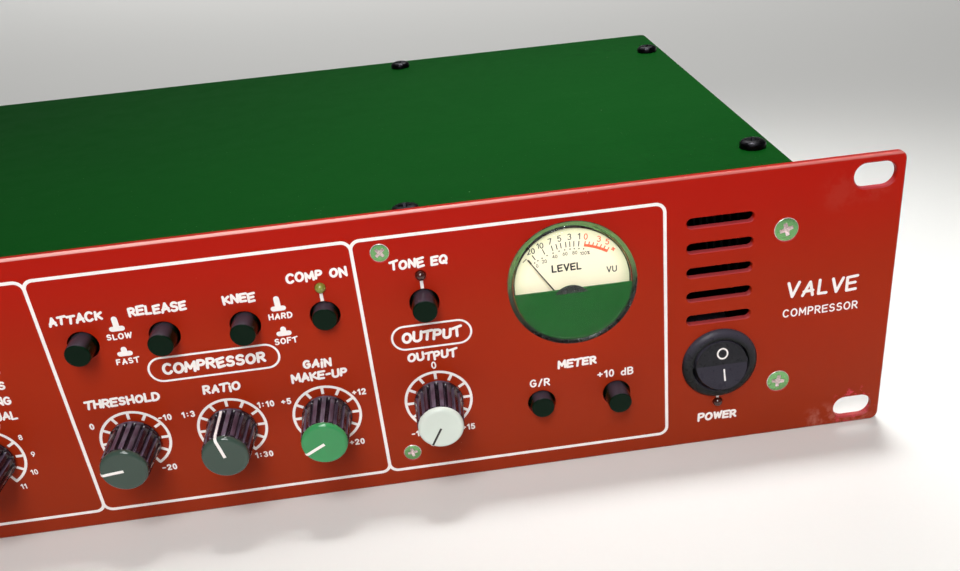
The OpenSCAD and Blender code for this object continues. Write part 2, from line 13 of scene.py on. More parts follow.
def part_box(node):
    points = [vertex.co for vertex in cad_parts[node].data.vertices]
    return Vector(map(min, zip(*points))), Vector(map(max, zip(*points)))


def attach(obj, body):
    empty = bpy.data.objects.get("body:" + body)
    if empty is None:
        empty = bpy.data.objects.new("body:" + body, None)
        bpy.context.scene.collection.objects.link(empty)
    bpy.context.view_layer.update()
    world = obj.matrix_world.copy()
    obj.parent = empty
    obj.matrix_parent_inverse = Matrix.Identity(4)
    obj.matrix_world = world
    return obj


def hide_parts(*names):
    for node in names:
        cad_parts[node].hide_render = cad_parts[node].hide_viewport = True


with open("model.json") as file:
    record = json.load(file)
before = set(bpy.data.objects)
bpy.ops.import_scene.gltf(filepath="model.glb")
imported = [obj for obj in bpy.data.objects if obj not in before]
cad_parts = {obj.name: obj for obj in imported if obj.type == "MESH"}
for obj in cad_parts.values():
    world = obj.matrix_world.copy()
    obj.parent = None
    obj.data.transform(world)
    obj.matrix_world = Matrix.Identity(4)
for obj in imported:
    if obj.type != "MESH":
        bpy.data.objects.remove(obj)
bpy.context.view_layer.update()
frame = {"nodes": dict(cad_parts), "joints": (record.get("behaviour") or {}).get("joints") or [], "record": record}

MM = 0.001
NODES = frame["nodes"]
BODY_OF = {n: b for b, members in frame["record"]["behaviour"]["bodies"].items() for n in members}
SLOT_OF = {p["node"]: p["material_slot"] for p in frame["record"]["subparts"]}
JOINTS = {j["name"]: j for j in frame["joints"]}
FACE_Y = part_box("front_panel")[0].y
# Rack slots: how far out and up or down their middles are, and half their height, in millimetres
SLOT_X = 232.5
SLOT_Z = 38.1
SLOT_HALF_HIGH = 3.6
# Inside faces of the case, in millimetres
INSIDE_X = 212.1
INSIDE_YZ = {"Y": (0.9, 192.9), "Z": (-43.9, 39.7)}
KNOBS = ["gain", "preset", "threshold", "ratio", "makeup", "output"]
BUTTONS = ["phantom", "pad", "phase", "attack", "release", "knee", "comp_on", "eq", "reduction", "range"]


def middle(node):
    """Middle of a CAD node's box."""
    low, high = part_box(node)
    return (low + high) / 2


def linear(red, green, blue):
    """Screen colour from 0 to 255 as the linear colour that a shader takes."""
    def one(value):
        share = value / 255
        return share / 12.92 if share <= 0.04045 else ((share + 0.055) / 1.055) ** 2.4
    return (one(red), one(green), one(blue), 1.0)


# ---------- materials ----------

class Finish:
    """A Principled material with short calls for the procedural detail on it."""

    def __init__(self, name, colour, roughness, metallic=0.0, **plain):
        self.mat = bpy.data.materials.new(name)
        self.mat.use_nodes = True
        self.tree = self.mat.node_tree
        self.shader = self.tree.nodes["Principled BSDF"]
        self.place = self.add("ShaderNodeTexCoord").outputs["Object"]
        self.set("Base Color", colour)
        self.set("Roughness", roughness)
        self.set("Metallic", metallic)
        for socket, value in plain.items():
            self.set(socket.replace("_", " "), value)
        self.colour = None
        self.start = colour
        self.height = None

    def set(self, socket, value):
        self.shader.inputs[socket].default_value = value

    def add(self, kind, **settings):
        node = self.tree.nodes.new(kind)
        for key, value in settings.items():
            setattr(node, key, value)
        return node

    def link(self, output, socket):
        self.tree.links.new(output, socket)

    def stretched(self, scale=(1, 1, 1), move=(0, 0, 0)):
        """The object's coordinates, scaled and moved."""
        node = self.add("ShaderNodeMapping")
        node.inputs["Scale"].default_value = scale
        node.inputs["Location"].default_value = move
        self.link(self.place, node.inputs["Vector"])
        return node.outputs["Vector"]

    def texture(self, kind, size, place=None, **settings):
        """A texture node whose pattern repeats about every size metres."""
        node = self.add("ShaderNodeTex" + kind, **settings)
        node.inputs["Scale"].default_value = 1 / size
        self.link(place or self.place, node.inputs["Vector"])
        return node

    def noise(self, size, detail=3.0, place=None, rough=0.5):
        """Noise from 0 to 1 whose features are about size metres across."""
        node = self.texture("Noise", size, place)
        node.inputs["Detail"].default_value = detail
        node.inputs["Roughness"].default_value = rough
        return node.outputs["Fac"]

    def cells(self, size):
        """Distance to the nearest of many points scattered about size metres apart, in cells."""
        return self.texture("Voronoi", size).outputs["Distance"]

    def remap(self, value, low, high, start=0.0, end=1.0):
        """value as it runs from low to high, turned into start to end and held there."""
        node = self.add("ShaderNodeMapRange", interpolation_type="SMOOTHSTEP")
        node.inputs["From Min"].default_value = low
        node.inputs["From Max"].default_value = high
        node.inputs["To Min"].default_value = start
        node.inputs["To Max"].default_value = end
        self.link(value, node.inputs["Value"])
        return node.outputs["Result"]

    def maths(self, operation, first, second):
        node = self.add("ShaderNodeMath", operation=operation)
        for socket, value in zip(node.inputs, (first, second)):
            if isinstance(value, (int, float)):
                socket.default_value = value
            else:
                self.link(value, socket)
        return node.outputs["Value"]

    def near(self, point, radius, soft):
        """1 within radius of a point and 0 beyond soft more than that."""
        away = self.add("ShaderNodeVectorMath", operation="DISTANCE")
        self.link(self.place, away.inputs[0])
        away.inputs[1].default_value = point
        return self.remap(away.outputs["Value"], radius, radius + soft, 1.0, 0.0)

    def along(self, axis):
        """One coordinate of the object's place."""
        node = self.add("ShaderNodeSeparateXYZ")
        self.link(self.place, node.inputs["Vector"])
        return node.outputs[axis]

    def span(self, axis, low, high, start=0.0, end=1.0):
        """Runs from start to end between two places along an axis."""
        return self.remap(self.along(axis), low, high, start, end)

    def facing_up(self, low, high, share):
        """Rises from 0 where the normal's upward part is low to share where it is high."""
        node = self.add("ShaderNodeSeparateXYZ")
        self.link(self.add("ShaderNodeTexCoord").outputs["Normal"], node.inputs["Vector"])
        return self.remap(node.outputs["Z"], low, high, 0.0, share)

    def tint(self, mask, colour):
        """Lays a colour over what is there, as much as the mask says."""
        node = self.add("ShaderNodeMix", data_type="RGBA")
        self.link(mask, node.inputs["Factor"])
        under, over = [s for s in node.inputs if s.type == "RGBA"]
        under.default_value = self.start
        over.default_value = colour
        if self.colour is not None:
            self.link(self.colour, under)
        self.colour = next(s for s in node.outputs if s.type == "RGBA")
        self.link(self.colour, self.shader.inputs["Base Color"])
        return self

    def patches(self, colour, size, detail, low, high, share):
        """Lays up to share of a colour on in patches about size metres across, where noise runs from low
        to high."""
        return self.tint(self.remap(self.noise(size, detail), low, high, 0.0, share), colour)

    def both(self, first, second):
        """Two masks multiplied."""
        return self.maths("MULTIPLY", first, second)

    def rough(self, value):
        self.link(value, self.shader.inputs["Roughness"])
        return self

    def bump(self, value, depth):
        """Raises the surface by depth metres where value is 1. Calls add up."""
        node = self.add("ShaderNodeBump")
        node.inputs["Distance"].default_value = depth
        node.inputs["Strength"].default_value = 1.0
        self.link(value, node.inputs["Height"])
        if self.height is not None:
            self.link(self.height, node.inputs["Normal"])
        self.height = node.outputs["Normal"]
        self.link(self.height, self.shader.inputs["Normal"])
        return self

    def dust(self, size, share, colour, speck=0.05):
        """Fine specks scattered size apart, over a share of the cells, each speck sizes in radius."""
        specks = self.remap(self.cells(size), speck * 0.6, speck, 1.0, 0.0)
        kept = self.remap(self.noise(size * 4, 1.0), 1 - share, 1 - share + 0.05)
        return self.tint(self.both(specks, kept), colour)


def paint(name, colour, dark, bright, shine):
    """Sprayed semi-gloss paint: slow changes of tone and orange peel."""
    made = Finish(name, colour, 0.34, Specular_IOR_Level=shine)
    made.patches(dark, 120 * MM, 2.0, 0.35, 0.75, 0.35)
    made.patches(bright, 50 * MM, 2.0, 0.5, 0.85, 0.15)
    made.rough(made.remap(made.noise(12 * MM, 4.0), 0.3, 0.8, 0.30, 0.40))
    made.bump(made.noise(0.9 * MM, 2.0), 0.02 * MM)
    return made


def plastic(name, colour, roughness, grain=0.25 * MM, depth=0.012 * MM, **plain):
    """Moulded plastic: a fine grain, a slight change of tone and of gloss."""
    made = Finish(name, colour, roughness, **plain)
    lighter = tuple(min(1.0, c * 1.1 + 0.002) for c in colour[:3]) + (1.0,)
    made.patches(lighter, 9 * MM, 2.0, 0.35, 0.8, 0.5)
    made.rough(made.remap(made.noise(1.5 * MM, 4.0), 0.3, 0.8, roughness * 0.8, roughness * 1.25))
    made.bump(made.noise(grain, 2.0), depth)
    return made


def metal(name, colour, roughness, scratch=(1, 1, 1)):
    """Plated or bare metal with fine scratches, stretched as the finish runs."""
    made = Finish(name, colour, roughness, metallic=1.0)
    scratches = made.noise(0.35 * MM, 4.0, made.stretched(scratch))
    darker = tuple(c * 0.6 for c in colour[:3]) + (1.0,)
    made.tint(made.remap(scratches, 0.4, 0.75, 0.0, 0.5), darker)
    made.rough(made.remap(made.noise(2 * MM, 3.0), 0.3, 0.75, roughness * 0.75, roughness * 1.4))
    made.bump(scratches, 0.006 * MM)
    return made


def zinc():
    """Zinc plate: the heads' flats in the panel's face are tinted green as a painted reflection, and their
    recesses are painted bright as glints.
    """
    made = metal("zinc", linear(206, 196, 190), 0.24)
    # the heads' flats lie within the first tenth of a millimetre, and every recess ends before 2.2 mm
    face = made.span("Y", FACE_Y + 0.06 * MM, FACE_Y + 0.14 * MM, 1.0, 0.0)
    # painted reflection: the heads' flats are tinted green
    made.tint(face, linear(126, 180, 118))
    recess = made.span("Y", FACE_Y + 2.2 * MM, FACE_Y + 2.3 * MM, 1.0, 0.0)
    recess = made.both(recess, made.maths("SUBTRACT", 1.0, face))
    # painted glints: the recesses are tinted bright, broken up by noise
    worn = made.remap(made.noise(0.5 * MM, 2.0), 0.4, 0.6, 0.2, 1.0)
    made.tint(made.both(recess, worn), linear(244, 222, 224))
    metallic = made.maths("SUBTRACT", 1.0, made.both(recess, 0.9))
    made.link(metallic, made.shader.inputs["Metallic"])
    return made


def through_for_lamps(made):
    """Lets lamps shine straight through clear parts, so what is behind them is lit."""
    path = made.add("ShaderNodeLightPath")
    clear = made.add("ShaderNodeBsdfTransparent")
    mix = made.add("ShaderNodeMixShader")
    made.link(path.outputs["Is Shadow Ray"], mix.inputs["Fac"])
    made.link(made.shader.outputs["BSDF"], mix.inputs[1])
    made.link(clear.outputs["BSDF"], mix.inputs[2])
    output = next(n for n in made.tree.nodes if n.type == "OUTPUT_MATERIAL")
    made.link(mix.outputs["Shader"], output.inputs["Surface"])
    return made


def red_paint():
    """The panel's paint: its wear round the slots, with painted glints among the chips, a painted reflection that
    turns it browner below, and painted highlights along the top edge and on the lower lips of its slots.
    """
    made = paint("red_paint", linear(165, 44, 15), linear(150, 34, 10), linear(174, 52, 20), 0.09)
    # painted reflection: redder along the top of the panel and browner below, the brown standing in for green
    # light reflected onto the lower part
    made.tint(made.span("Z", 2 * MM, 44 * MM, 0.0, 0.85), linear(176, 18, 8))
    made.tint(made.span("Z", 5 * MM, -40 * MM, 0.0, 0.6), linear(144, 52, 24))
    # rubbed pale below the rack slots and chipped round them, the lower ones far more than the upper ones; the
    # bright chips are partly wear and partly painted glints on the slots' edges
    for x in (-SLOT_X, SLOT_X):
        for z, reach, worn in ((SLOT_Z, 6, 0.12), (-SLOT_Z, 9, 1.0)):
            sill = (z - SLOT_HALF_HIGH) * MM
            below = (x * MM, FACE_Y, sill)
            inward = ((x - math.copysign(10, x)) * MM, FACE_Y, sill)
            for place, size in ((below, reach * 0.35), (inward, 2.5)):
                zone = made.near(place, size * MM, 5 * MM)
                smear = made.remap(made.noise(4 * MM, 4.0, rough=0.6), 0.4, 0.62, 0.0, 0.8 * worn)
                made.tint(made.both(zone, smear), linear(184, 104, 88))
            # painted glints: the bright pinkish specks round each slot stand partly for glints on its rounded edge
            zone = made.near((x * MM, FACE_Y, z * MM), 5.5 * MM, 3 * MM)
            chips_and_glints = made.remap(made.noise(1.6 * MM, 3.0, rough=0.6), 0.56, 0.64, 0.0, worn)
            made.tint(made.both(zone, chips_and_glints), linear(204, 66, 78))
    # painted highlight: the lower lips of the slots, which face up, are painted paler as if lit from above
    below_top = made.span("Z", 42 * MM, 43 * MM, 1.0, 0.0)
    made.tint(made.both(made.facing_up(0.3, 0.6, 0.6), below_top), linear(182, 74, 82))
    # painted highlight: the upper front edge is painted with a pale line that fades towards the right
    edge = made.span("Z", 43.2 * MM, 43.5 * MM)
    front = made.span("Y", -1.3 * MM, -1.45 * MM)
    length = made.span("X", 60 * MM, 190 * MM, 0.95, 0.35)
    made.tint(made.both(made.both(edge, front), length), linear(244, 176, 168))
    made.dust(3.2 * MM, 0.32, linear(190, 110, 90))
    return made


def green_paint():
    """The case's paint, dusty outside, with painted shade inside."""
    made = paint("green_paint", linear(9, 69, 18), linear(7, 63, 16), linear(11, 73, 20), 0.02)
    # painted shade: the inside of the case is painted near black
    sideways = made.maths("ABSOLUTE", made.along("X"), 0)
    inside = made.remap(sideways, INSIDE_X * MM, (INSIDE_X + 0.1) * MM, 1.0, 0.0)
    for axis, (low, high) in INSIDE_YZ.items():
        value = made.along(axis)
        inside = made.both(inside, made.remap(value, (low - 0.05) * MM, low * MM))
        inside = made.both(inside, made.remap(value, high * MM, (high + 0.05) * MM, 1.0, 0.0))
    made.tint(inside, linear(14, 15, 15))
    made.dust(2.2 * MM, 0.5, linear(110, 150, 104), 0.07)
    made.dust(6.0 * MM, 0.42, linear(160, 190, 150), 0.04)
    return made


def board_green():
    """Solder mask over copper tracks."""
    made = Finish("board_green", linear(24, 84, 44), 0.3, Coat_Weight=0.3)
    tracks = made.texture("Brick", 9 * MM)
    tracks.inputs["Mortar Size"].default_value = 0.03
    made.tint(tracks.outputs["Fac"], linear(60, 130, 70))
    made.tint(made.remap(made.cells(5 * MM), 0.08, 0.14, 1.0, 0.0), linear(196, 190, 170))
    made.bump(tracks.outputs["Fac"], 0.03 * MM)
    return made


def transformer_wrap():
    """Clear yellow tape wound over copper wire."""
    made = Finish("transformer_wrap", linear(176, 132, 58), 0.28, Coat_Weight=0.6)
    centre = middle("toroidal_transformer")
    centred = made.stretched(move=(-centre.x, -centre.y, 0))
    turns = made.texture("Wave", 14 * MM, centred, wave_type="RINGS", rings_direction="Z")
    turns.inputs["Distortion"].default_value = 1.2
    made.tint(made.remap(turns.outputs["Fac"], 0.3, 0.8, 0.0, 0.6), linear(214, 178, 92))
    made.patches(linear(120, 72, 34), 2 * MM, 3.0, 0.55, 0.7, 0.4)
    made.bump(turns.outputs["Fac"], 0.2 * MM)
    return made


def lens(name, colour, glow):
    """Diffused lens of a lamp that isn't lit."""
    made = plastic(name, colour, 0.22, Coat_Weight=0.6)
    made.patches(glow, 0.8 * MM, 2.0, 0.4, 0.7, 0.5)
    return made


def clear_plastic(name, tone, index):
    made = Finish(name, tone, 0.02, IOR=index, Transmission_Weight=1.0)
    made.rough(made.remap(made.noise(5 * MM, 4.0), 0.45, 0.8, 0.01, 0.05))
    return through_for_lamps(made)


def dial_cream():
    """Printed card of the meter, with painted shade and a painted green reflection towards its rim."""
    made = Finish("dial_cream", linear(240, 225, 199), 0.6)
    centre = middle("meter_dial")
    # painted shade and reflection: the card is tinted darker and greener towards its rim
    inner = made.near(centre, 12.5 * MM, 4.5 * MM)
    rim = made.maths("SUBTRACT", 1.0, inner)
    made.tint(made.both(rim, 0.55), linear(168, 178, 128))
    made.patches(linear(214, 204, 170), 0.5 * MM, 4.0, 0.5, 0.8, 0.12)
    made.bump(made.noise(0.15 * MM, 3.0), 0.006 * MM)
    return made


def capacitor_sleeve():
    """Dark mottled sleeve and a bare aluminium top."""
    made = Finish("capacitor_sleeve", linear(22, 30, 62), 0.3, Coat_Weight=0.3)
    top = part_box("filter_capacitors")[1].z
    made.tint(made.span("Z", top - 0.5 * MM, top - 0.3 * MM), linear(190, 192, 194))
    made.patches(linear(40, 52, 90), 3 * MM, 3.0, 0.5, 0.8, 0.3)
    made.bump(made.noise(0.6 * MM), 0.02 * MM)
    return made


def ribbon_grey():
    """Flat cable: its wires side by side, the first one red."""
    made = Finish("ribbon_grey", linear(176, 178, 182), 0.45)
    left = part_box("ribbon_cable")[0].x
    wires = made.texture("Wave", 8 * MM, bands_direction="X")
    made.tint(made.remap(wires.outputs["Fac"], 0.1, 0.4, 0.8, 0.0), linear(110, 112, 116))
    edge = made.span("X", left + 1.2 * MM, left + 1.4 * MM, 1.0, 0.0)
    made.tint(edge, linear(176, 40, 36))
    made.bump(wires.outputs["Fac"], 0.3 * MM)
    return made


def rocker_black():
    """Spark-eroded black plastic: a grain coarse enough to glint, with painted glints in pale specks and a painted
    highlight on what faces up.
    """
    made = plastic("rocker_black", linear(12, 15, 14), 0.33, 0.35 * MM, 0.05 * MM, Specular_IOR_Level=0.2)
    # painted highlight: what faces up is painted paler, as if lit from above
    made.tint(made.facing_up(-0.1, 0.6, 0.8), linear(72, 68, 80))
    # painted glints: pale specks scattered over the grain
    made.patches(linear(74, 72, 86), 0.3 * MM, 1.0, 0.62, 0.74, 0.4)
    return made


def knob_black():
    """Glossy black plastic with a painted sheen on what faces up."""
    made = plastic("knob_black", linear(36, 25, 34), 0.2, 0.4 * MM, 0.004 * MM)
    # painted sheen: the lands that face up are painted paler, as if lit from above, in streaks along the knob
    film = made.remap(made.noise(0.8 * MM, 4.0, made.stretched((1, 0.2, 1))), 0.3, 0.7, 0.55, 1.0)
    made.tint(made.both(made.facing_up(0.78, 0.98, 0.9), film), linear(108, 94, 114))
    return made


def button_green():
    """Dark green plastic with a painted sheen on what faces up."""
    made = plastic("button_green", linear(1, 24, 10), 0.2, Specular_IOR_Level=0.1)
    # painted sheen: what faces up is painted paler, as if lit from above
    made.tint(made.facing_up(0.45, 0.95, 0.7), linear(84, 70, 84))
    return made


def ink(name, colour):
    """Screen-printed ink: faintly uneven in tone and gloss."""
    made = Finish(name, colour, 0.5)
    thin = tuple(c * 0.82 for c in colour[:3]) + (1.0,)
    made.patches(thin, 0.7 * MM, 3.0, 0.5, 0.8, 0.35)
    made.bump(made.noise(0.2 * MM, 2.0), 0.008 * MM)
    return made


# Screen colour, roughness and whatever else the shader is told, for each plain plastic
PLASTICS = {
    "pot_blue": ((44, 92, 140), 0.4),
    "switch_black": ((30, 30, 33), 0.42),
    "meter_black": ((22, 24, 24), 0.3),
    "mask_green": ((20, 78, 30), 0.3, {"Specular_IOR_Level": 0.1}),
    "needle_black": ((46, 40, 26), 0.35),
    "cap_grey": ((57, 74, 65), 0.1),
    "cap_orange": ((222, 120, 52), 0.1),
    "cap_green": ((56, 143, 84), 0.1),
    "cap_white": ((214, 222, 212), 0.1),
    "ceramic": ((226, 218, 200), 0.3),
}
# Screen colour, roughness and how the scratches are stretched, for each plain metal
METALS = {
    "black_screw": ((32, 31, 34), 0.3),
    "sink_aluminium": ((190, 192, 196), 0.38, (1, 1, 0.05)),
    "pin_metal": ((204, 202, 188), 0.25, (1, 0.1, 1)),
    "connector_shell": ((120, 122, 126), 0.34),
}
FINISHES = {
    "red_paint": red_paint(),
    "green_paint": green_paint(),
    "zinc": zinc(),
    "board_green": board_green(),
    "olive_lens": lens("olive_lens", linear(128, 134, 52), linear(168, 172, 84)),
    "red_lens": lens("red_lens", linear(58, 16, 10), linear(84, 30, 20)),
    "dial_cream": dial_cream(),
    "clear_cover": clear_plastic("clear_cover", (0.97, 1.0, 0.97, 1.0), 1.14),
    "rocker_black": rocker_black(),
    "knob_black": knob_black(),
    "button_green": button_green(),
    "transformer_wrap": transformer_wrap(),
    "capacitor_sleeve": capacitor_sleeve(),
    "valve_glass": clear_plastic("valve_glass", (0.98, 1.0, 0.99, 1.0), 1.45),
    "ribbon_grey": ribbon_grey(),
}
for kind, (tone, roughness, *more) in PLASTICS.items():
    FINISHES[kind] = plastic(kind, linear(*tone), roughness, **(more[0] if more else {}))
for kind, (tone, roughness, *scratch) in METALS.items():
    FINISHES[kind] = metal(kind, linear(*tone), roughness, *scratch)
INK = {
    "ink_white": ink("ink_white", linear(255, 248, 244)),
    "ink_black": ink("ink_black", linear(28, 26, 22)),
    "ink_red": ink("ink_red", linear(236, 92, 56)),
}

for node_name, node in NODES.items():
    node.data.materials.clear()
    node.data.materials.append(FINISHES[SLOT_OF[node_name]].mat)


# ---------- mesh helpers ----------

def new_piece(name, mesh, body, finish, slot=None):
    """Puts a mesh into the scene as a piece that rides on a body."""
    piece = bpy.data.objects.new(name, mesh)
    bpy.context.scene.collection.objects.link(piece)
    mesh.materials.append(finish.mat)
    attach(piece, body)
    return piece


def stand_in(name, mesh, node):
    """Puts a finer mesh in a CAD node's place, on the same body and in the same material."""
    piece = new_piece(name, mesh, BODY_OF[node], FINISHES[SLOT_OF[node]], SLOT_OF[node])
    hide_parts(node)
    return piece


def mesh_from(name, points, faces):
    mesh = bpy.data.meshes.new(name)
    mesh.from_pydata(points, [], faces)
    mesh.validate()
    mesh.update()
    return mesh


def outward(mesh, weld=0.0):
    """Joins points closer than weld and turns every face outward."""
    work = bmesh.new()
    work.from_mesh(mesh)
    if weld:
        bmesh.ops.remove_doubles(work, verts=work.verts, dist=weld)
    bmesh.ops.recalc_face_normals(work, faces=work.faces)
    work.to_mesh(mesh)
    work.free()
    return mesh


def lathe(name, node, profile, segments, sharp=50, centre=None, wave=None):
    """Stands a closed turned solid in for a CAD node, about the Y axis through centre or the node's middle.
    profile lists (y, r) or, for flutes, (y, r, depth) in millimetres from the front middle round to the
    back middle; wave(turn) says how much of depth is cut away at that share of a turn."""
    centre = centre or middle(node)
    points, rows = [], []
    for y, r, *cut in profile:
        if r == 0:
            rows.append([len(points)])
            points.append((centre.x, y * MM, centre.z))
            continue
        row = []
        for k in range(segments):
            turn = k / segments
            radius = r - (cut[0] * wave(turn) if cut and wave else 0)
            angle = turn * math.tau
            row.append(len(points))
            points.append((centre.x + radius * MM * math.sin(angle), y * MM,
                           centre.z + radius * MM * math.cos(angle)))
        rows.append(row)
    faces = []
    for a, b in zip(rows, rows[1:]):
        for k in range(segments):
            m = (k + 1) % segments
            if len(a) == 1:
                faces.append((a[0], b[m], b[k]))
            elif len(b) == 1:
                faces.append((a[k], a[m], b[0]))
            else:
                faces.append((a[k], a[m], b[m], b[k]))
    mesh = outward(mesh_from(name, points, faces))
    mesh.shade_smooth()
    mesh.set_sharp_from_angle(angle=math.radians(sharp))
    return stand_in(name, mesh, node)


def fillet(y0, r0, y1, r1, steps):
    """Quarter-round from (y0, r0) to (y1, r1), leaving along r and arriving along y."""
    return [(y1 + (y0 - y1) * math.cos(a), r0 + (r1 - r0) * math.sin(a))
            for a in (math.pi / 2 * k / steps for k in range(steps + 1))]


# ---------- printing ----------

def arc(cx, cy, rx, ry, start, end, steps=10):
    """Points of an arc, in degrees from the right and anticlockwise."""
    return [(cx + rx * math.cos(math.radians(start + (end - start) * k / steps)),
             cy + ry * math.sin(math.radians(start + (end - start) * k / steps)))
            for k in range(steps + 1)]


# Each letter is its width and its strokes, one unit high
LETTERS = {
    "A": (0.7, [[(0, 0), (0.4, 1), (0.68, 0)], [(0.06, 0.3), (0.66, 0.36)]]),
    "B": (0.6, [[(0, 0), (0, 1), (0.28, 1), *arc(0.3, 0.76, 0.26, 0.24, 90, -90), (0, 0.52)],
                [(0.3, 0.52), *arc(0.3, 0.26, 0.3, 0.26, 90, -90), (0, 0)]]),
    "C": (0.68, [arc(0.36, 0.5, 0.36, 0.5, 45, 315, 14)]),
    "D": (0.66, [[(0, 0), (0, 1), (0.18, 1), *arc(0.2, 0.5, 0.46, 0.5, 90, -90), (0, 0)]]),
    "E": (0.56, [[(0.6, 1), (-0.04, 0.94), (0, 0), (0.58, 0.04)], [(0, 0.5), (0.5, 0.53)]]),
    "F": (0.54, [[(0.54, 1), (0, 1), (0, 0)], [(0, 0.5), (0.46, 0.5)]]),
    "G": (0.7, [[*arc(0.36, 0.5, 0.36, 0.5, 45, 330, 14), (0.68, 0.46), (0.42, 0.46)]]),
    "H": (0.64, [[(0, 0), (0, 1)], [(0.64, 0), (0.64, 1)], [(0, 0.5), (0.64, 0.5)]]),
    "I": (0.0, [[(0, 0), (0, 1)]]),
    "K": (0.6, [[(0.04, 0), (0, 1)], [(0.6, 0.9), (0, 0.42)], [(0.16, 0.54), (0.66, 0.06)]]),
    "L": (0.52, [[(0, 1), (0, 0), (0.52, 0)]]),
    "M": (0.8, [[(0, 0), (0.04, 1), (0.4, 0.3), (0.76, 1), (0.8, 0)]]),
    "N": (0.64, [[(0, 0), (0, 1), (0.64, 0), (0.64, 1)]]),
    "O": (0.74, [arc(0.37, 0.5, 0.37, 0.5, 0, 360, 20)]),
    "P": (0.58, [[(0, 0), (0, 1), (0.28, 1), *arc(0.3, 0.73, 0.28, 0.27, 90, -90), (0, 0.46)]]),
    "Q": (0.76, [arc(0.37, 0.5, 0.37, 0.5, 0, 360, 20), [(0.46, 0.26), (0.76, -0.04)]]),
    "R": (0.62, [[(0, 0), (0, 1), (0.28, 1), *arc(0.3, 0.74, 0.28, 0.26, 90, -90), (0, 0.48)],
                 [(0.26, 0.48), (0.62, 0)]]),
    "S": (0.6, [[*arc(0.31, 0.75, 0.27, 0.25, 35, 255), *arc(0.3, 0.26, 0.3, 0.26, 75, -145)]]),
    "T": (0.66, [[(-0.06, 0.9), (0.74, 1)], [(0.34, 0.96), (0.3, 0)]]),
    "U": (0.64, [[(0, 1), *arc(0.32, 0.32, 0.32, 0.32, 180, 360), (0.64, 1)]]),
    "V": (0.68, [[(0, 1), (0.34, 0), (0.68, 1)]]),
    "W": (0.94, [[(0, 1), (0.22, 0), (0.47, 0.85), (0.72, 0), (0.94, 1)]]),
    "Y": (0.64, [[(0, 1), (0.32, 0.48), (0.64, 1)], [(0.32, 0.48), (0.32, 0)]]),
    "0": (0.52, [arc(0.26, 0.5, 0.26, 0.5, 0, 360, 18)]),
    "1": (0.26, [[(0, 0.78), (0.26, 1), (0.26, 0)]]),
    "2": (0.54, [[*arc(0.27, 0.73, 0.27, 0.27, 165, -25), (0, 0), (0.54, 0)]]),
    "3": (0.52, [[*arc(0.25, 0.76, 0.25, 0.24, 150, -80), *arc(0.25, 0.27, 0.27, 0.27, 80, -150)]]),
    "4": (0.58, [[(0.44, 0), (0.44, 1), (0, 0.3), (0.58, 0.3)]]),
    "5": (0.54, [[(0.5, 1), (0.08, 1), (0.03, 0.56), *arc(0.25, 0.32, 0.28, 0.32, 125, -145)]]),
    "6": (0.54, [[(0.42, 1), *arc(0.28, 0.32, 0.27, 0.32, 140, 500, 18)]]),
    "7": (0.52, [[(0, 1), (0.52, 1), (0.18, 0)]]),
    "8": (0.54, [arc(0.27, 0.76, 0.23, 0.24, -90, 270, 16), arc(0.27, 0.26, 0.27, 0.26, 90, 450, 16)]),
    "9": (0.54, [[(0.12, 0), *arc(0.26, 0.68, 0.27, 0.32, -40, -400, 18)]]),
    "+": (0.5, [[(0, 0.5), (0.5, 0.5)], [(0.25, 0.25), (0.25, 0.75)]]),
    "-": (0.4, [[(0, 0.5), (0.4, 0.5)]]),
    ":": (0.34, [[(0.17, 0.22), (0.17, 0.23)], [(0.17, 0.72), (0.17, 0.73)]]),
    "/": (0.42, [[(0, 0), (0.42, 1)]]),
    "%": (0.72, [arc(0.16, 0.8, 0.15, 0.19, 0, 360), arc(0.56, 0.2, 0.15, 0.19, 0, 360),
                 [(0.6, 1), (0.12, 0)]]),
    "i": (0.0, [[(0, 0), (0, 0.66)], [(0, 0.97), (0, 0.98)]]),
    "d": (0.52, [arc(0.26, 0.3, 0.26, 0.3, 0, 360, 16), [(0.52, 0), (0.52, 1)]]),
    " ": (0.34, []),
}


def capsule(start, end, pen):
    """Outline of a straight pen stroke with round ends."""
    steps = 6
    ahead = math.atan2(end[1] - start[1], end[0] - start[0])
    r = pen / 2
    outline = []
    for (x, y), first in ((end, -90), (start, 90)):
        for k in range(steps + 1):
            a = ahead + math.radians(first + 180 * k / steps)
            outline.append((x + r * math.cos(a), y + r * math.sin(a)))
    return outline


def bar(start, end, width):
    """Outline of a straight stroke with square ends."""
    run = Vector(end) - Vector(start)
    side = Vector((-run.y, run.x)).normalized() * width / 2
    return [tuple(Vector(start) - side), tuple(Vector(end) - side),
            tuple(Vector(end) + side), tuple(Vector(start) + side)]


def pen_line(points, pen):
    return [capsule(a, b, pen) for a, b in zip(points, points[1:])]


def rounded_box(x0, x1, y0, y1, r):
    """Closed path round a rectangle with round corners."""
    path = (arc(x1 - r, y1 - r, r, r, 90, 0, 8) + arc(x1 - r, y0 + r, r, r, 0, -90, 8)
            + arc(x0 + r, y0 + r, r, r, -90, -180, 8) + arc(x0 + r, y1 - r, r, r, 180, 90, 8))
    return path + path[:1]


def text_width(text, height, gap):
    return sum(LETTERS[c][0] * height + gap for c in text) - gap


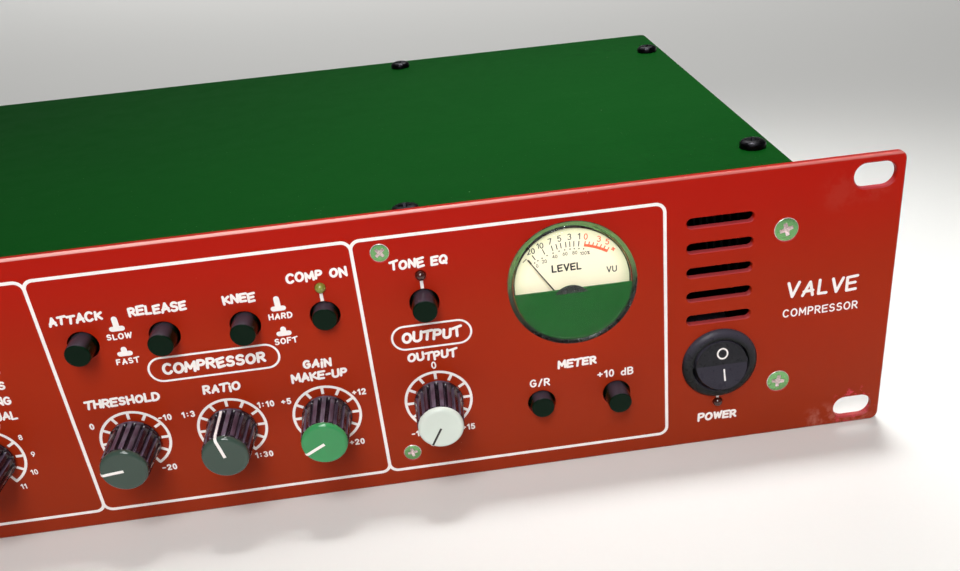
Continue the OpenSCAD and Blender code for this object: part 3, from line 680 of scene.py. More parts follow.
def write(text, x, y, height, pen, align=0.5, gap=None, hand=0.0, turn=0.0):
    """Outlines of a line of text whose middle (align 0.5), left (0) or right (1) is at x, and whose middle
    height is at y. hand is how freely it is lettered, and turn tilts each letter in degrees."""
    gap = pen + height * 0.17 if gap is None else gap
    wobble = random.Random(text + str(round(x)))
    left = -text_width(text, height, gap) * align
    rows = []
    for letter in text:
        width, strokes = LETTERS[letter]
        lean = math.radians(turn + hand * wobble.uniform(-3, 9))
        lift = hand * wobble.uniform(-0.07, 0.07) * height
        size = 1 + hand * wobble.uniform(-0.08, 0.08)
        for stroke in strokes:
            line = []
            for px, py in stroke:
                dy = (py - 0.5) * height * size
                dx = (px - width / 2) * height * size * (1 + 0.1 * hand) + 0.14 * hand * dy
                rx = dx * math.cos(lean) - dy * math.sin(lean) + width * height / 2 + left
                ry = dx * math.sin(lean) + dy * math.cos(lean) + lift
                line.append((x + rx, y + ry))
            rows += pen_line(line, pen)
        left += width * height + gap
    return [rows]


FILM_DEPTH = 0.02


def printed(name, groups, body, finish, face=FACE_Y, back=False, thick=0.03, onto=None):
    """A thin raised print: each group of outlines (in millimetres on the face) is joined into one film that
    stands thick millimetres proud. onto is a mesh object to lay the film on, instead of the flat face."""
    points, faces = [], []
    tree = None
    if onto is not None:
        tree = BVHTree.FromPolygons([v.co.copy() for v in onto.data.vertices],
                                    [tuple(p.vertices) for p in onto.data.polygons])
    toward = Vector((0, 1 if back else -1, 0))
    side = -1 if back else 1
    for outlines in groups:
        flat, rings = [], []
        for outline in outlines:
            area = sum(a[0] * b[1] - b[0] * a[1] for a, b in zip(outline, outline[1:] + outline[:1]))
            ring = outline if area > 0 else outline[::-1]
            rings.append(list(range(len(flat), len(flat) + len(ring))))
            flat += [Vector(p) for p in ring]
        out, _, triangles, _, _, origins = delaunay_2d_cdt(flat, [], rings, 1, 1e-5)
        kept = [t for t, origin in zip(triangles, origins) if origin]
        used = sorted({v for t in kept for v in t})
        order = {v: k for k, v in enumerate(used)}
        base = len(points)
        count = len(used)
        for level in (thick, -FILM_DEPTH):
            for v in used:
                place = Vector((side * out[v].x * MM, face, out[v].y * MM))
                if tree:
                    start = Vector((place.x, face, place.z)) + toward * 50 * MM
                    hit = tree.ray_cast(start, -toward)[0]
                    place = hit or place
                points.append(place + toward * level * MM)
        edges = {}
        for a, b, c in kept:
            a, b, c = order[a], order[b], order[c]
            faces.append((base + a, base + b, base + c))
            faces.append((base + count + c, base + count + b, base + count + a))
            for edge in ((a, b), (b, c), (c, a)):
                edges[edge] = edges.get(edge, 0) + 1
        for a, b in edges:
            if (b, a) not in edges:
                faces.append((base + b, base + a, base + count + a, base + count + b))
    mesh = mesh_from(name, points, faces)
    new_piece(name, mesh, body, finish)


def label(text, x, z, high=2.3, pen=0.72, align=0.5):
    """Hand-lettered name over a control."""
    return write(text, x, z, high, pen, align, hand=1.0, gap=pen + high * 0.08)


def number(text, x, z, high=1.65, pen=0.46):
    return write(text, x, z, high, pen, gap=pen + high * 0.16)


def spot(node):
    """Sideways and upward place of a node's middle, in millimetres."""
    at = middle(node)
    return at.x / MM, at.z / MM


def print_on_panel(name, groups):
    printed(name, groups, "root", INK["ink_white"])


# All places on the panel are in millimetres from its middle
SECTION_XS = [-172.8, -86.1, 0.5, 86.5, 172.8]
SECTION_TOP = 37.3
SECTION_LOW = -38.6
# Name, middle and half the width of each section's round-ended frame
SECTIONS = [
    ("INPUT", -129.7, 11.5), ("PRESETS", -38.5, 13.5), ("COMPRESSOR", 43.4, 18.1), ("OUTPUT", 104.8, 11.3),
]
TITLE_LOW = 2.5
TITLE_TOP = 9.9
LABELS = [
    ("48V", -157, 28.8), ("PAD", -129.7, 24.9), ("PHASE", -102.4, 24.9), ("GAiN", -129.7, -1.2),
    ("ATTACK", 10.6, 24.9), ("RELEASE", 32.4, 24.9), ("KNEE", 54.3, 24.9), ("COMP ON", 76.2, 28.9),
    ("TONE EQ", 104.1, 28.9), ("THRESHOLD", 15.6, -2.1), ("RATiO", 43.5, -2.1), ("GAiN", 71.4, 1.8),
    ("MAKE-UP", 71.3, -2.1), ("OUTPUT", 104.1, -0.4), ("METER", 146, -8.9),
    ("POWER", 188.8, -34.5), ("LINE", -189.1, -2.2),
]
METER_LABELS = [("G/R", 134.5, -14.3), ("+10 dB", 157.3, -14.3)]
BUTTON_LABELS = [("SLOW", 20.4, 18.1), ("FAST", 20.6, 10.3), ("HARD", 64.3, 18.1), ("SOFT", 64.3, 10.3)]
PRESET_NAMES = ["VOCAL", "BASS", "DRUMS", "KEYS", "STRING", "MANUAL"]
PRESET_RIGHT = -13.9
PRESET_TOP = 21.9
PRESET_PITCH = 4.8
TITLE_X = 219.5
# Numbers round each knob, with their place from its middle
DIAL_NUMBERS = {
    "threshold": (("0", -10.7, 6.5), ("-10", 9.9, 6.4), ("-20", 6.9, -10.7)),
    "ratio": (("1:3", -11.3, 6.4), ("1:10", 10.9, 6.4), ("1:30", 6.9, -10.7)),
    "makeup": (("+5", -10.8, 6.4), ("+12", 10.3, 6.4), ("+20", 7.0, -10.7)),
    "output": (("-15", -7.6, -10.7), ("+15", 7.7, -10.7)),
    "gain": (("16", -8.0, -10.7), ("60", 7.4, -10.7)),
}
DIAL_R = 9.66
SPOKE_FROM = 7.3
PRESET_NUMBER_R = 12.2
DIAL_START = 240
DIAL_STEP = 30
DIAL_MARKS = 11


def around(x, z, radius, mark):
    """Place at a radius from a knob's middle, in line with one of its marks."""
    angle = math.radians(DIAL_START - DIAL_STEP * mark)
    return (x + radius * math.cos(angle), z + radius * math.sin(angle))


def print_sections():
    """The frames of the sections, and their names in round-ended frames."""
    lines = []
    for x0, x1 in zip(SECTION_XS, SECTION_XS[1:]):
        lines += pen_line(rounded_box(x0, x1, SECTION_LOW, SECTION_TOP, 2.6), 0.95)
    groups = [lines]
    for text, x, half in SECTIONS:
        end_radius = (TITLE_TOP - TITLE_LOW) / 2 - 0.01
        groups.append(pen_line(rounded_box(x - half, x + half, TITLE_LOW, TITLE_TOP, end_radius), 0.6))
        groups += write(text, x, (TITLE_LOW + TITLE_TOP) / 2, 2.8, 0.84, hand=1.0, gap=1.06)
    print_on_panel("panel_lines", groups)


def print_dial_rings():
    """An open ring with eleven spokes round each knob."""
    rings = []
    for name in KNOBS:
        x, z = spot(name + "_cap")
        ring = pen_line(arc(x, z, DIAL_R, DIAL_R, DIAL_START, -60, 48), 0.8)
        for mark in range(DIAL_MARKS):
            ring.append(bar(around(x, z, SPOKE_FROM, mark), around(x, z, DIAL_R, mark), 0.85))
        rings.append(ring)
    print_on_panel("dial_rings", rings)


def print_labels():
    labels = []
    for text, x, z in LABELS:
        labels += label(text, x, z)
    for text, x, z in METER_LABELS:
        labels += write(text, x, z, 2.2, 0.5, hand=0.4)
    for text, x, z in BUTTON_LABELS:
        labels += write(text, x, z, 1.5, 0.42, hand=0.8, gap=0.72)
    for row, text in enumerate(PRESET_NAMES):
        labels += label(text, PRESET_RIGHT, PRESET_TOP - PRESET_PITCH * row, 2.2, 0.6, 1.0)
    labels += write("VALVE", TITLE_X, 5.6, 4.4, 0.9, hand=0.5)
    labels += write("COMPRESSOR", TITLE_X, -1.8, 2.3, 0.44)
    print_on_panel("panel_labels", labels)


def print_numbers():
    numbers = []
    for name, marks in DIAL_NUMBERS.items():
        x, z = spot(name + "_cap")
        for text, dx, dz in marks:
            numbers += number(text, x + dx, z + dz)
    numbers += number("0", 104.1, -3.7, 2.0, 0.42)
    for mark in range(DIAL_MARKS):
        numbers += number(str(mark + 1), *around(*spot("preset_cap"), PRESET_NUMBER_R, mark), 1.5, 0.32)
    print_on_panel("dial_numbers", numbers)


ICON_XS = (20.5, 64.2)


def button_icon(x, base, tall):
    """Little drawing of a button from the side: its stem over its foot, standing out or pushed in."""
    stem = [capsule((x, base + 1.0), (x, base + tall - 0.9), 1.6)]
    foot = [capsule((x - 1.35, base + 0.75), (x + 1.35, base + 0.75), 1.5)]
    return [stem + foot]


def print_marks():
    """Drawings of the two button states, and the ticks that tie each lamp to its button."""
    marks = []
    for x in ICON_XS:
        marks += button_icon(x, 19.7, 4.6)
        marks += button_icon(x, 11.9, 3.0)
    for name in ("phantom", "comp_on", "eq"):
        x, z = spot(name + "_button")
        marks.append([bar((x, z + 4.3), (x, z + 6.6), 0.9)])
    marks.append([capsule((188.75, -28.2), (188.75, -27.5), 0.85)])
    print_on_panel("panel_marks", marks)


REAR_LABELS = {"mains_inlet": "MAINS", "microphone_socket": "MIC IN", "output_connector": "OUTPUT"}


def print_rear_labels():
    """Names over the connectors, readable from behind."""
    labels = []
    for node, text in REAR_LABELS.items():
        labels += label(text, -spot(node)[0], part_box(node)[1].z / MM + 4)
    printed("rear_labels", labels, "root", INK["ink_white"], face=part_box("rear_panel")[1].y, back=True)


print_sections()
print_dial_rings()
print_labels()
print_numbers()
print_marks()
print_rear_labels()


# ---------- front panel with a softened edge ----------

def soften_edge(node_name):
    """A copy of the panel whose bevelled edge is shaded as a round, and whose other faces stay flat."""
    edge = 0.6
    source = NODES[node_name]
    mesh = source.data.copy()
    low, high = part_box(node_name)
    bevel_end = low.y + edge * MM
    radius = 2.5 * MM
    tiny = 0.02 * MM
    normals = [corner.vector.copy() for corner in mesh.corner_normals]
    for face in mesh.polygons:
        sloping = 0.6 < -face.normal.y < 0.8
        inside = max(abs(face.center.x) - high.x, abs(face.center.z) - high.z) < -2 * edge * MM
        if inside or not sloping:
            continue
        for corner in face.loop_indices:
            place = mesh.vertices[mesh.loops[corner].vertex_index].co
            if place.y < low.y + tiny:
                normals[corner] = Vector((0, -1, 0))
            elif place.y > bevel_end - tiny:
                x_in = max(0.0, abs(place.x) - high.x + radius)
                z_in = max(0.0, abs(place.z) - high.z + radius)
                normals[corner] = Vector((math.copysign(x_in, place.x), 0,
                                          math.copysign(z_in, place.z))).normalized()
    mesh.normals_split_custom_set(normals)
    mesh.materials.clear()
    stand_in(node_name + "_painted", mesh, node_name)


soften_edge("front_panel")


# ---------- knobs, caps and buttons ----------

# How deep a knob is cut at each twelfth of a flute, as a share of the groove: a flat land, then a V groove
FLUTE = (0, 0, 0, 0, 0, 0, 0, 0.4, 0.85, 1.0, 0.85, 0.4)
LAND_MIDDLE = 3
FLUTES = 18
KNOB_BACK = FACE_Y / MM - 0.8
KNOB_R = 7.25
CAP_R = 6.5
SIDE_LINE_HALF_WIDE = 0.42
SIDE_LINE_THICK = 0.12


def groove(turn):
    """How deep the knob is cut at a share of a turn from the middle of a land."""
    return FLUTE[round(turn * FLUTES * len(FLUTE) + LAND_MIDDLE) % len(FLUTE)]


def rest_angle(name):
    """Angle of a knob's pointer at rest, in radians anticlockwise from the right."""
    return math.radians(DIAL_START + JOINTS[name + "_turn"]["range_deg"][0])


def knob_side(front):
    """The knob's side from its front rim to its skirt, as (y, r, groove depth) in millimetres."""
    return [(front, 6.2, 0.05), (front + 0.06, 6.42, 0.2), (front + 0.2, 6.58, 0.4),
            (front + 0.45, 6.68, 0.6), (front + 0.9, 6.72, 0.9), (front + 4, 6.8, 1.0),
            (front + 8, 6.92, 1.05), (KNOB_BACK - 1.9, 7.02, 1.1),
            (KNOB_BACK - 1.5, 7.06, 0.8), (KNOB_BACK - 1.25, 7.14, 0.15), (KNOB_BACK - 1.0, KNOB_R, 0.0)]


def knob_body(name):
    """Fluted knob, hollow at the front where the cap sits."""
    node = name + "_knob"
    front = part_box(node)[0].y / MM
    profile = [(front + 1.9, 0), (front + 1.9, 5.5), (front + 0.15, 5.55), (front, 5.7), *knob_side(front),
               (KNOB_BACK - 0.15, KNOB_R), (KNOB_BACK, 7.1), (KNOB_BACK, 3.0), (9.0, 2.95), (9.0, 0)]
    # a land lies in line with the pointer, whose share of a turn here is clockwise from the top
    pointed = 0.25 - rest_angle(name) / math.tau
    lathe(node + "_fluted", node, profile, FLUTES * len(FLUTE), 30, middle(name + "_cap"),
          lambda turn: groove(turn - pointed))


def knob_face(name):
    """Cap with a rounded rim. Gives back the piece, so that the pointer can be laid on it."""
    node = name + "_cap"
    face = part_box(node)[0].y / MM
    # the pointer's film is laid on the face, so the face stands that much back from the CAD box
    rim = face + 0.06
    profile = [(rim + 0.1, 0), (rim + 0.1, 3.5), (rim + 0.06, 4.8), (rim, 5.3)]
    profile += fillet(rim, 5.4, face + 1.1, CAP_R, 8)
    profile += [(face + 1.4, CAP_R), (face + 1.4, 5.4), (face + 3.2, 5.4), (face + 3.2, 0)]
    return lathe(node + "_domed", node, profile, 128)


def pointer(name, cap):
    """Line from the middle of the cap over its edge and on down the knob's side, at its angle at rest."""
    a = rest_angle(name)
    x, z = spot(name + "_cap")
    reach = (math.cos(a), math.sin(a))
    colour, width = ("ink_black", 0.6) if name == "output" else ("ink_white", 0.85)
    # short steps near the cap's rim, where the film has to follow the round
    stops = [0.0, 1.6, 3.2, 4.6, 5.6, 5.9, 6.1, 6.25, 6.37, 6.44]
    places = [(x + r * reach[0], z + r * reach[1]) for r in stops]
    line = [bar(p, q, width) for p, q in zip(places, places[1:])]
    printed(name + "_pointer", [line], BODY_OF[name + "_cap"], INK[colour], onto=cap, thick=0.04)
    # the side line is a thin strip from the cap's edge to the skirt, bent round the knob's front rim
    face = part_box(name + "_cap")[0].y / MM
    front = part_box(name + "_knob")[0].y / MM
    path = [(face + 0.55, 6.46), (face + 0.9, 6.53), (front, 6.53), (front + 0.25, 6.66),
            (front + 0.45, 6.71)]
    path += [(y, r + 0.03) for y, r, _ in knob_side(front)[4:]]
    points, faces = [], []
    for y, r in path:
        for across in (-SIDE_LINE_HALF_WIDE, SIDE_LINE_HALF_WIDE):
            for deep in (0.0, SIDE_LINE_THICK):
                points.append((x * MM + (r - deep) * MM * reach[0] - across * MM * reach[1], y * MM,
                               z * MM + (r - deep) * MM * reach[1] + across * MM * reach[0]))
    for a0 in range(0, 4 * len(path) - 4, 4):
        b0 = a0 + 4
        faces += [(a0, a0 + 2, b0 + 2, b0), (a0 + 1, b0 + 1, b0 + 3, a0 + 3),
                  (a0, b0, b0 + 1, a0 + 1), (a0 + 2, a0 + 3, b0 + 3, b0 + 2)]
    end = 4 * len(path) - 4
    faces += [(0, 1, 3, 2), (end, end + 2, end + 3, end + 1)]
    mesh = outward(mesh_from(name + "_side_line", points, faces))
    new_piece(name + "_side_line", mesh, BODY_OF[name + "_cap"], INK["ink_white"])


for name in KNOBS:
    knob_body(name)
    pointer(name, knob_face(name))


STEM_R = 1.6


def button_body(name):
    """Round button with a softened rim, and the stem that pushes the switch."""
    node = name + "_button"
    low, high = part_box(node)
    face = low.y / MM
    back = high.y / MM
    profile = [(face + 0.08, 0), (face + 0.06, 2.0), (face, 2.85)]
    profile += fillet(face, 2.95, face + 0.45, 3.42, 5)
    profile += [(face + 3, 3.55), (back - 6.0, 3.78), (back - 5.8, 3.6)]
    profile += [(back - 5.8, STEM_R), (back, STEM_R), (back, 0)]
    lathe(node + "_moulded", node, profile, 96)


for name in BUTTONS:
    button_body(name)


# ---------- screws ----------

def separate_boxes(node):
    """Box of each separate solid of a CAD node."""
    work = bmesh.new()
    work.from_mesh(NODES[node].data)
    bmesh.ops.remove_doubles(work, verts=work.verts, dist=0.001 * MM)
    waiting = set(work.verts)
    boxes = []
    while waiting:
        group = [waiting.pop()]
        for vert in group:
            for edge in vert.link_edges:
                other = edge.other_vert(vert)
                if other in waiting:
                    waiting.remove(other)
                    group.append(other)
        low = Vector([min(v.co[k] for v in group) for k in range(3)])
        high = Vector([max(v.co[k] for v in group) for k in range(3)])
        boxes.append((low, high))
    work.free()
    # the same order each run, because each screw draws its turn in this order
    return sorted(boxes, key=lambda box: [round(v / MM) for v in box[0]])


def cross_outline(reach, width):
    """Outline of a cross recess."""
    h = width / 2
    corner = [(h, reach), (h + width * 0.12, h + width * 0.12), (reach, h)]
    outline = []
    for turn in range(4):
        a = -turn * math.pi / 2
        outline += [(x * math.cos(a) - y * math.sin(a), x * math.sin(a) + y * math.cos(a))
                    for x, y in corner]
    return outline


def screw(points, faces, place, profile, reach, width, depth, turn):
    """Adds one screw with a cross recess. profile lists (height, r) from the head's flat outward and back,
    and place(u, v, w) puts a point of the screw into the scene, w being outward."""
    segments = 48
    taper = 0.42
    base = len(points)
    top = profile[0][0]
    for height, r in profile:
        for k in range(segments):
            a = math.tau * k / segments
            points.append(place(r * math.cos(a), r * math.sin(a), height))
    for ring in range(len(profile) - 1):
        for k in range(segments):
            m = (k + 1) % segments
            a = base + ring * segments
            faces.append((a + k, a + segments + k, a + segments + m, a + m))
    last = base + (len(profile) - 1) * segments
    faces.append(tuple(last + segments - 1 - k for k in range(segments)))
    cross = [(u * math.cos(turn) - v * math.sin(turn), u * math.sin(turn) + v * math.cos(turn))
             for u, v in cross_outline(reach, width)][::-1]
    flat_r = profile[0][1]
    steps = [math.tau * k / segments for k in range(segments)]
    rim = [(flat_r * math.cos(a), flat_r * math.sin(a)) for a in steps]
    flat = [Vector(p) for p in rim + cross]
    rings = [list(range(segments)), list(range(segments, len(flat)))]
    out, _, triangles, _, _, origins = delaunay_2d_cdt(flat, [], rings, 1, 1e-5)
    offset = len(points)
    points += [place(v.x, v.y, top) for v in out]
    faces += [tuple(offset + v for v in t) for t, origin in zip(triangles, origins) if origin == [0]]
    walls = len(points)
    count = len(cross)
    for u, v in cross:
        points.append(place(u, v, top))
    for u, v in cross:
        points.append(place(u * taper, v * taper, top - depth))
    for k in range(count):
        m = (k + 1) % count
        faces.append((walls + k, walls + m, walls + count + m, walls + count + k))
    faces.append(tuple(walls + count + k for k in range(count)))


def screw_set(node, heads):
    """All screws of a CAD node in finer detail. heads(box) gives the placing function and the sizes."""
    points, faces = [], []
    wobble = random.Random(node)
    for box in separate_boxes(node):
        place, profile, reach, width, depth = heads(box)
        screw(points, faces, place, profile, reach, width, depth, wobble.uniform(0, math.pi / 2))
    mesh = outward(mesh_from(node + "_turned", points, faces), 0.001 * MM)
    mesh.shade_smooth()
    mesh.set_sharp_from_angle(angle=math.radians(24))
    stand_in(node + "_turned", mesh, node)


def flat_head(box):
    """Countersunk head in the panel: its flat, a small round-over, the cone and the shank."""
    low, high = box
    r = (high.x - low.x) / 2 / MM
    length = (high.y - low.y) / MM
    large = r > 3
    shank = 2.0 if large else 1.5
    x, z = (low.x + high.x) / 2, (low.z + high.z) / 2
    profile = [(-0.02, r - 0.55), (-0.08, r - 0.3), (-0.24, r - 0.1), (-0.42, r - 0.06),
               (-0.42 - (r - shank), shank), (-length, shank)]

    def place(u, v, w):
        return (x + u * MM, low.y - w * MM, z + v * MM)
    return place, profile, r * 0.56, r * 0.3, r * 0.42


def pan_head(box):
    """Domed head on the cover and its shank."""
    low, high = box
    r = (high.x - low.x) / 2 / MM
    length = (high.z - low.z) / MM
    x, y = (low.x + high.x) / 2, (low.y + high.y) / 2
    profile = [(0.0, r * 0.5), (-0.12, r * 0.68), (-0.38, r * 0.84), (-0.8, r * 0.95), (-1.3, r * 0.995),
               (-2.2, r), (-2.38, r * 0.97), (-2.4, 2.0), (-length, 2.0)]

    def place(u, v, w):
        return (x + u * MM, y + v * MM, high.z + w * MM)
    return place, profile, r * 0.48, r * 0.26, 1.3


screw_set("panel_screws", flat_head)
screw_set("cover_screws", pan_head)


# ---------- meter ----------

METER = middle("meter_cover")
PIVOT = Vector(JOINTS["needle_swing"]["pos_m"])
DIAL_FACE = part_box("meter_dial")[0].y
WINDOW_R = 18.38
HUMP_R = 5.6
# painted reflection and shade: the ring under the cover's rim is pale green above as a reflection and painted dark
# below as shade
RING_PAINTED_LIGHT = plastic("ring_painted_light", linear(84, 116, 66), 0.4)
painted_shade_below = RING_PAINTED_LIGHT.span("Z", METER.z + 9 * MM, METER.z - 4 * MM)
RING_PAINTED_LIGHT.tint(painted_shade_below, linear(14, 34, 14))


def meter_window():
    """Clear cover with a rounded rim."""
    low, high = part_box("meter_cover")
    face, back = low.y / MM, high.y / MM
    profile = [(face, 0), (face + 0.04, 9), (face + 0.15, 16.6)]
    profile += fillet(face + 0.18, 17.0, face + 1.5, WINDOW_R, 6)
    profile += [(back, WINDOW_R), (back, 17.1), (face + 1.9, 17.0)]
    profile += [(face + 1.25, 16.5), (face + 1.0, 15.8), (face + 0.95, 9), (face + 0.92, 0)]
    lathe("meter_window", "meter_cover", profile, 160)


meter_window()


def meter_trim():
    """The mask's dark hump, a green ring under the cover's rim painted as a reflection above and as shade below,
    two dark lines of which the inner one is painted shadow at the dial's edge, and the needle's thick tip.
    """
    low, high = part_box("meter_mask")
    top = high.z / MM
    hump = arc(PIVOT.x / MM - 0.1, top - HUMP_R, HUMP_R + 0.2, HUMP_R + 0.2, 145, 35, 16)
    printed("meter_hump", [[hump]], "root", FINISHES["meter_black"], face=low.y, thick=0.06)
    x, z = METER.x / MM, METER.z / MM
    # painted reflection and shade: the green ring under the cover's rim
    ring = pen_line(arc(x, z, 17.5, 17.5, 0, 360, 96), 1.1)
    printed("meter_ring", [ring], "root", RING_PAINTED_LIGHT, thick=0.05)
    # painted shadow: the inner dark line stands for the shadow at the dial's edge; the outer one is a dark line
    # round the cover's rim
    lines = [pen_line(arc(x, z, r, r, 0, 360, 96), 0.36) for r in (16.77, 18.22)]
    printed("meter_shadow_and_rim_lines", lines, "root", FINISHES["meter_black"], thick=0.04)
    tip = max((v.co for v in NODES["meter_needle"].data.vertices), key=lambda co: (co - PIVOT).length)
    pivot = Vector((PIVOT.x, PIVOT.z))
    run = (Vector((tip.x, tip.z)) - pivot) / MM
    # the thick part lies between two shares of the needle's length
    ends = [pivot / MM + run * share for share in (0.925, 0.995)]
    printed("needle_tip", [[bar(*ends, 0.5)]], BODY_OF["meter_needle"], FINISHES["needle_black"],
            face=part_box("meter_needle")[0].y, thick=0.05)


meter_trim()

# The printed scale, as degrees clockwise from straight up about its centre, with text where there is any
SCALE_CENTRE = (145.8, 8.4)
BLACK_NUMBERS = [(-29.0, "20"), (-21.3, "10"), (-13.7, "7"), (-6.7, "5"), (0.5, "3"), (7.4, "1")]
RED_NUMBERS = [(12.3, "0"), (22.1, "3"), (28.7, "5")]
SHARE_NUMBERS = [(-32.0, "0"), (-24.2, "20"), (-13.8, "40"), (-4.2, "60"), (4.8, "80"), (14.2, "100%")]
TICK_HALF = 0.85
BLACK_TICKS = [-29.9, -20.9, -13.7, -10.0, -6.6, -2.6, 0.6, 3.8, 7.7]
DOTS = [-32.0, -28.7, -24.5, -19.7, -14.2, -8.9, -4.0, 0.6, 4.2, 8.2, 12.3]
NUMBER_R = 22.5
TICK_R = 20.3
DOT_R = 18.8
SHARE_R = 17.6
RED_FROM = 12.0
RED_TO = 32.6


def scale_point(angle, radius):
    """Point of the meter's scale at an angle clockwise from straight up, in millimetres."""
    a = math.radians(90 - angle)
    return (SCALE_CENTRE[0] + radius * math.cos(a), SCALE_CENTRE[1] + radius * math.sin(a))


def meter_scale():
    black, red = [], []
    for angle, text in BLACK_NUMBERS:
        black += write(text, *scale_point(angle, NUMBER_R), 1.65, 0.27, turn=-angle * 0.35, gap=0.46)
    for angle in BLACK_TICKS:
        ends = [scale_point(angle, TICK_R + way * TICK_HALF) for way in (-1, 1)]
        black.append([bar(*ends, 0.28)])
    for angle in DOTS:
        place = scale_point(angle, DOT_R)
        black.append([capsule(place, (place[0] + 0.02, place[1]), 0.42)])
    for angle, text in SHARE_NUMBERS:
        black += write(text, *scale_point(angle, SHARE_R), 0.95, 0.15, turn=-angle * 0.35, gap=0.25)
    minus_sign = [scale_point(angle, 21.3) for angle in (-38.8, -34.9)]
    black.append([bar(*minus_sign, 0.3)])
    x, z = METER.x / MM, METER.z / MM
    black += write("VU", x + 11.6, z + 2.4, 1.65, 0.32, gap=0.5)
    black += write("LEVEL", x - 1.2, z + 4.6, 1.9, 0.46, gap=0.66)
    for angle, text in RED_NUMBERS:
        red += write(text, *scale_point(angle, NUMBER_R), 1.65, 0.28, turn=-angle * 0.35)
    red += write("+", *scale_point(35.6, 21.2), 1.9, 0.34)
    steps, teeth = 18, 7
    band_r = TICK_R - 0.4
    red_span = RED_TO - RED_FROM
    band = [scale_point(RED_FROM + red_span * k / steps, band_r) for k in range(steps + 1)]
    comb = [bar(a, b, 0.8) for a, b in zip(band, band[1:])]
    for k in range(teeth):
        angle = RED_FROM + 0.6 + (red_span - 1.2) * k / (teeth - 1)
        comb.append(bar(scale_point(angle, band_r), scale_point(angle, TICK_R + TICK_HALF), 0.34))
    red.append(comb)
    printed("meter_scale_black", black, "root", INK["ink_black"], face=DIAL_FACE, thick=0.02)
    printed("meter_scale_red", red, "root", INK["ink_red"], face=DIAL_FACE, thick=0.025)


meter_scale()


# ---------- power switch ----------

BEZEL_R = 11.5
TAB_SIZE = (6.2, 9.0, 0.8)
TAB_Y = 26.5
TAB_ZS = (-5, 0, 5)


def rocker_bezel():
    """Round housing with a domed rim, a barrel through the panel and its three tabs behind."""
    centre = middle("rocker_housing")
    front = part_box("rocker_housing")[0].y / MM
    panel = FACE_Y / MM
    profile = [(8.0, 0), (8.0, 8.35), (front + 0.5, 8.45), (front + 0.08, 8.7), (front, 9.0),
               (front + 0.08, 9.6), (front + 0.35, 10.3), (front + 0.75, 10.95), (front + 1.25, 11.38),
               (front + 1.6, BEZEL_R), (panel, BEZEL_R), (panel, 9.7), (22.0, 9.6), (22.0, 0)]
    lathe("rocker_bezel", "rocker_housing", profile, 160, 35)
    points, faces = [], []
    for z in TAB_ZS:
        work = bmesh.new()
        bmesh.ops.create_cube(work, size=1.0)
        bmesh.ops.scale(work, vec=Vector(TAB_SIZE) * MM, verts=work.verts)
        bmesh.ops.translate(work, vec=Vector((centre.x, TAB_Y * MM, centre.z + z * MM)), verts=work.verts)
        bmesh.ops.bevel(work, geom=work.edges[:], offset=0.15 * MM, segments=2, affect="EDGES")
        base = len(points)
        points += [v.co.copy() for v in work.verts]
        faces += [tuple(base + v.index for v in f.verts) for f in work.faces]
        work.free()
    mesh = mesh_from("rocker_tabs", points, faces)
    new_piece("rocker_tabs", mesh, "root", FINISHES["pin_metal"], "pin_metal")


def rocker_marks():
    """The marks for off and on, laid on the rocker."""
    x, z = spot("power_rocker")
    off_mark = pen_line(arc(x + 0.3, z + 4.2, 1.5, 1.6, 0, 360, 28), 0.5)
    on_mark = [bar((x + 0.6, z - 4.1), (x + 0.6, z - 0.7), 0.5)]
    printed("rocker_marks", [off_mark, on_mark], "rocker", INK["ink_white"], onto=NODES["power_rocker"])


rocker_bezel()
rocker_marks()


# ---------- floor, lights and camera ----------

STUDIO_WHITE = (0.85, 0.87, 0.9, 1)
FAR_GLOW = 0.5
WORLD_LIGHT = 0.1


def floor():
    """Plain pale sheet under the object, large enough for every view."""
    half = 12.0
    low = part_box("front_panel")[0].z
    corners = [(-half, -half, low), (half, -half, low), (half, half, low), (-half, half, low)]
    mesh = mesh_from("floor", corners, [(0, 1, 2, 3)])
    made = Finish("floor_card", linear(236, 235, 231), 0.8)
    made.patches(linear(229, 228, 224), 0.6, 2.0, 0.3, 0.8, 0.3)
    made.bump(made.noise(1.2 * MM, 2.0), 0.02 * MM)
    # the lamps only reach the floor near the object, so further out it is given the same paleness
    far = made.maths("SUBTRACT", 1.0, made.near((0, 0, low), 0.9, 2.4))
    made.link(made.maths("MULTIPLY", far, FAR_GLOW), made.shader.inputs["Emission Strength"])
    made.set("Emission Color", STUDIO_WHITE)
    sheet = bpy.data.objects.new("floor", mesh)
    bpy.context.scene.collection.objects.link(sheet)
    mesh.materials.append(made.mat)


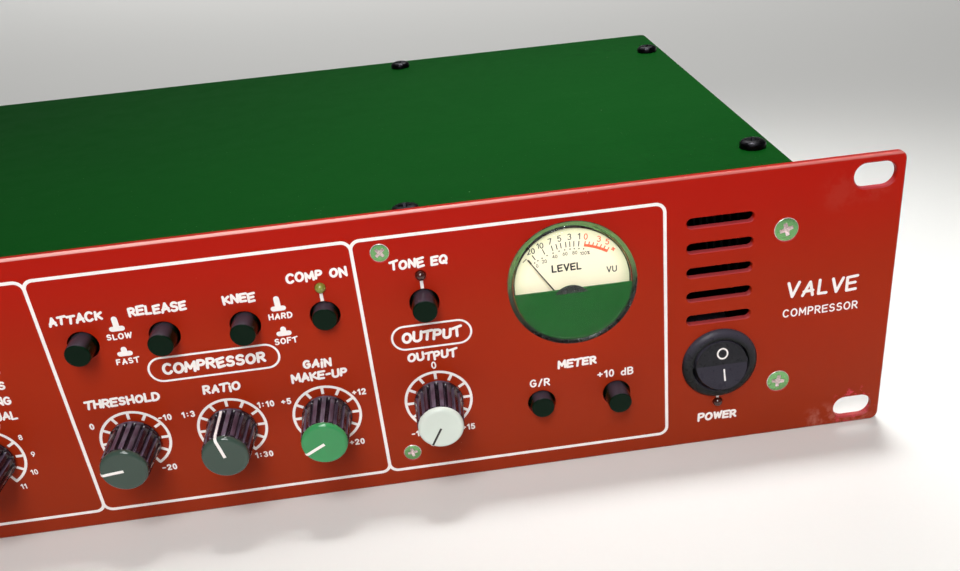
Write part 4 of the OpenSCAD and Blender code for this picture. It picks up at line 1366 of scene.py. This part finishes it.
def area_light(name, place, target, size, power, spread=180):
    """Rectangular lamp that faces its target. spread is in degrees."""
    data = bpy.data.lights.new(name, "AREA")
    data.shape = "RECTANGLE"
    data.size, data.size_y = size
    data.energy = power
    data.spread = math.radians(spread)
    lamp = bpy.data.objects.new(name, data)
    lamp.location = place
    lamp.visible_camera = False
    lamp.rotation_euler = (Vector(target) - Vector(place)).to_track_quat("-Z", "Y").to_euler()
    bpy.context.scene.collection.objects.link(lamp)


def world_light():
    """A faint even light from all round, which the camera sees as bright as the far floor."""
    world = bpy.data.worlds.new("studio")
    world.use_nodes = True
    tree = world.node_tree
    background = tree.nodes["Background"]
    background.inputs["Color"].default_value = STUDIO_WHITE
    seen = tree.nodes.new("ShaderNodeLightPath")
    brightness = tree.nodes.new("ShaderNodeMath")
    brightness.operation = "MULTIPLY_ADD"
    brightness.inputs[1].default_value = FAR_GLOW - WORLD_LIGHT
    brightness.inputs[2].default_value = WORLD_LIGHT
    tree.links.new(seen.outputs["Is Camera Ray"], brightness.inputs[0])
    tree.links.new(brightness.outputs["Value"], background.inputs["Strength"])
    bpy.context.scene.world = world


def photo_camera():
    """The camera that was fitted to the panel's outline and slots in the photograph."""
    camera = bpy.data.objects.new("camera", bpy.data.cameras.new("camera"))
    camera.data.sensor_width = 36
    camera.data.lens = 36.330
    camera.data.shift_x = -0.04156
    camera.data.shift_y = 0.07239
    camera.data.clip_start = 0.01
    camera.location = (0.1116, -0.2475, 0.1349)
    camera.rotation_euler = [math.radians(a) for a in (60.443, 4.722, -6.803)]
    bpy.context.scene.collection.objects.link(camera)
    bpy.context.scene.camera = camera


floor()
# the key lights the face, the fill its right side, the others the cover, the backdrop and the back
area_light("key", (0.05, -0.42, 0.44), (0.11, 0.0, 0.0), (0.22, 0.4), 3.2)
area_light("fill", (1.3, -0.6, 0.7), (0.1, 0.05, 0.0), (0.9, 0.9), 0.3)
area_light("top", (0.23, 0.3, 1.3), (0.2, 0.1, 0.0), (0.3, 0.2), 0.3, 22)
area_light("backdrop", (0.2, 1.8, 1.6), (0.2, 1.5, 0.0), (1.5, 1.0), 9, 100)
area_light("rear", (0.4, 1.2, 1.5), (0.05, 0.15, 0.0), (0.8, 0.6), 4)
world_light()
photo_camera()
bpy.context.scene.view_settings.view_transform = "Standard"
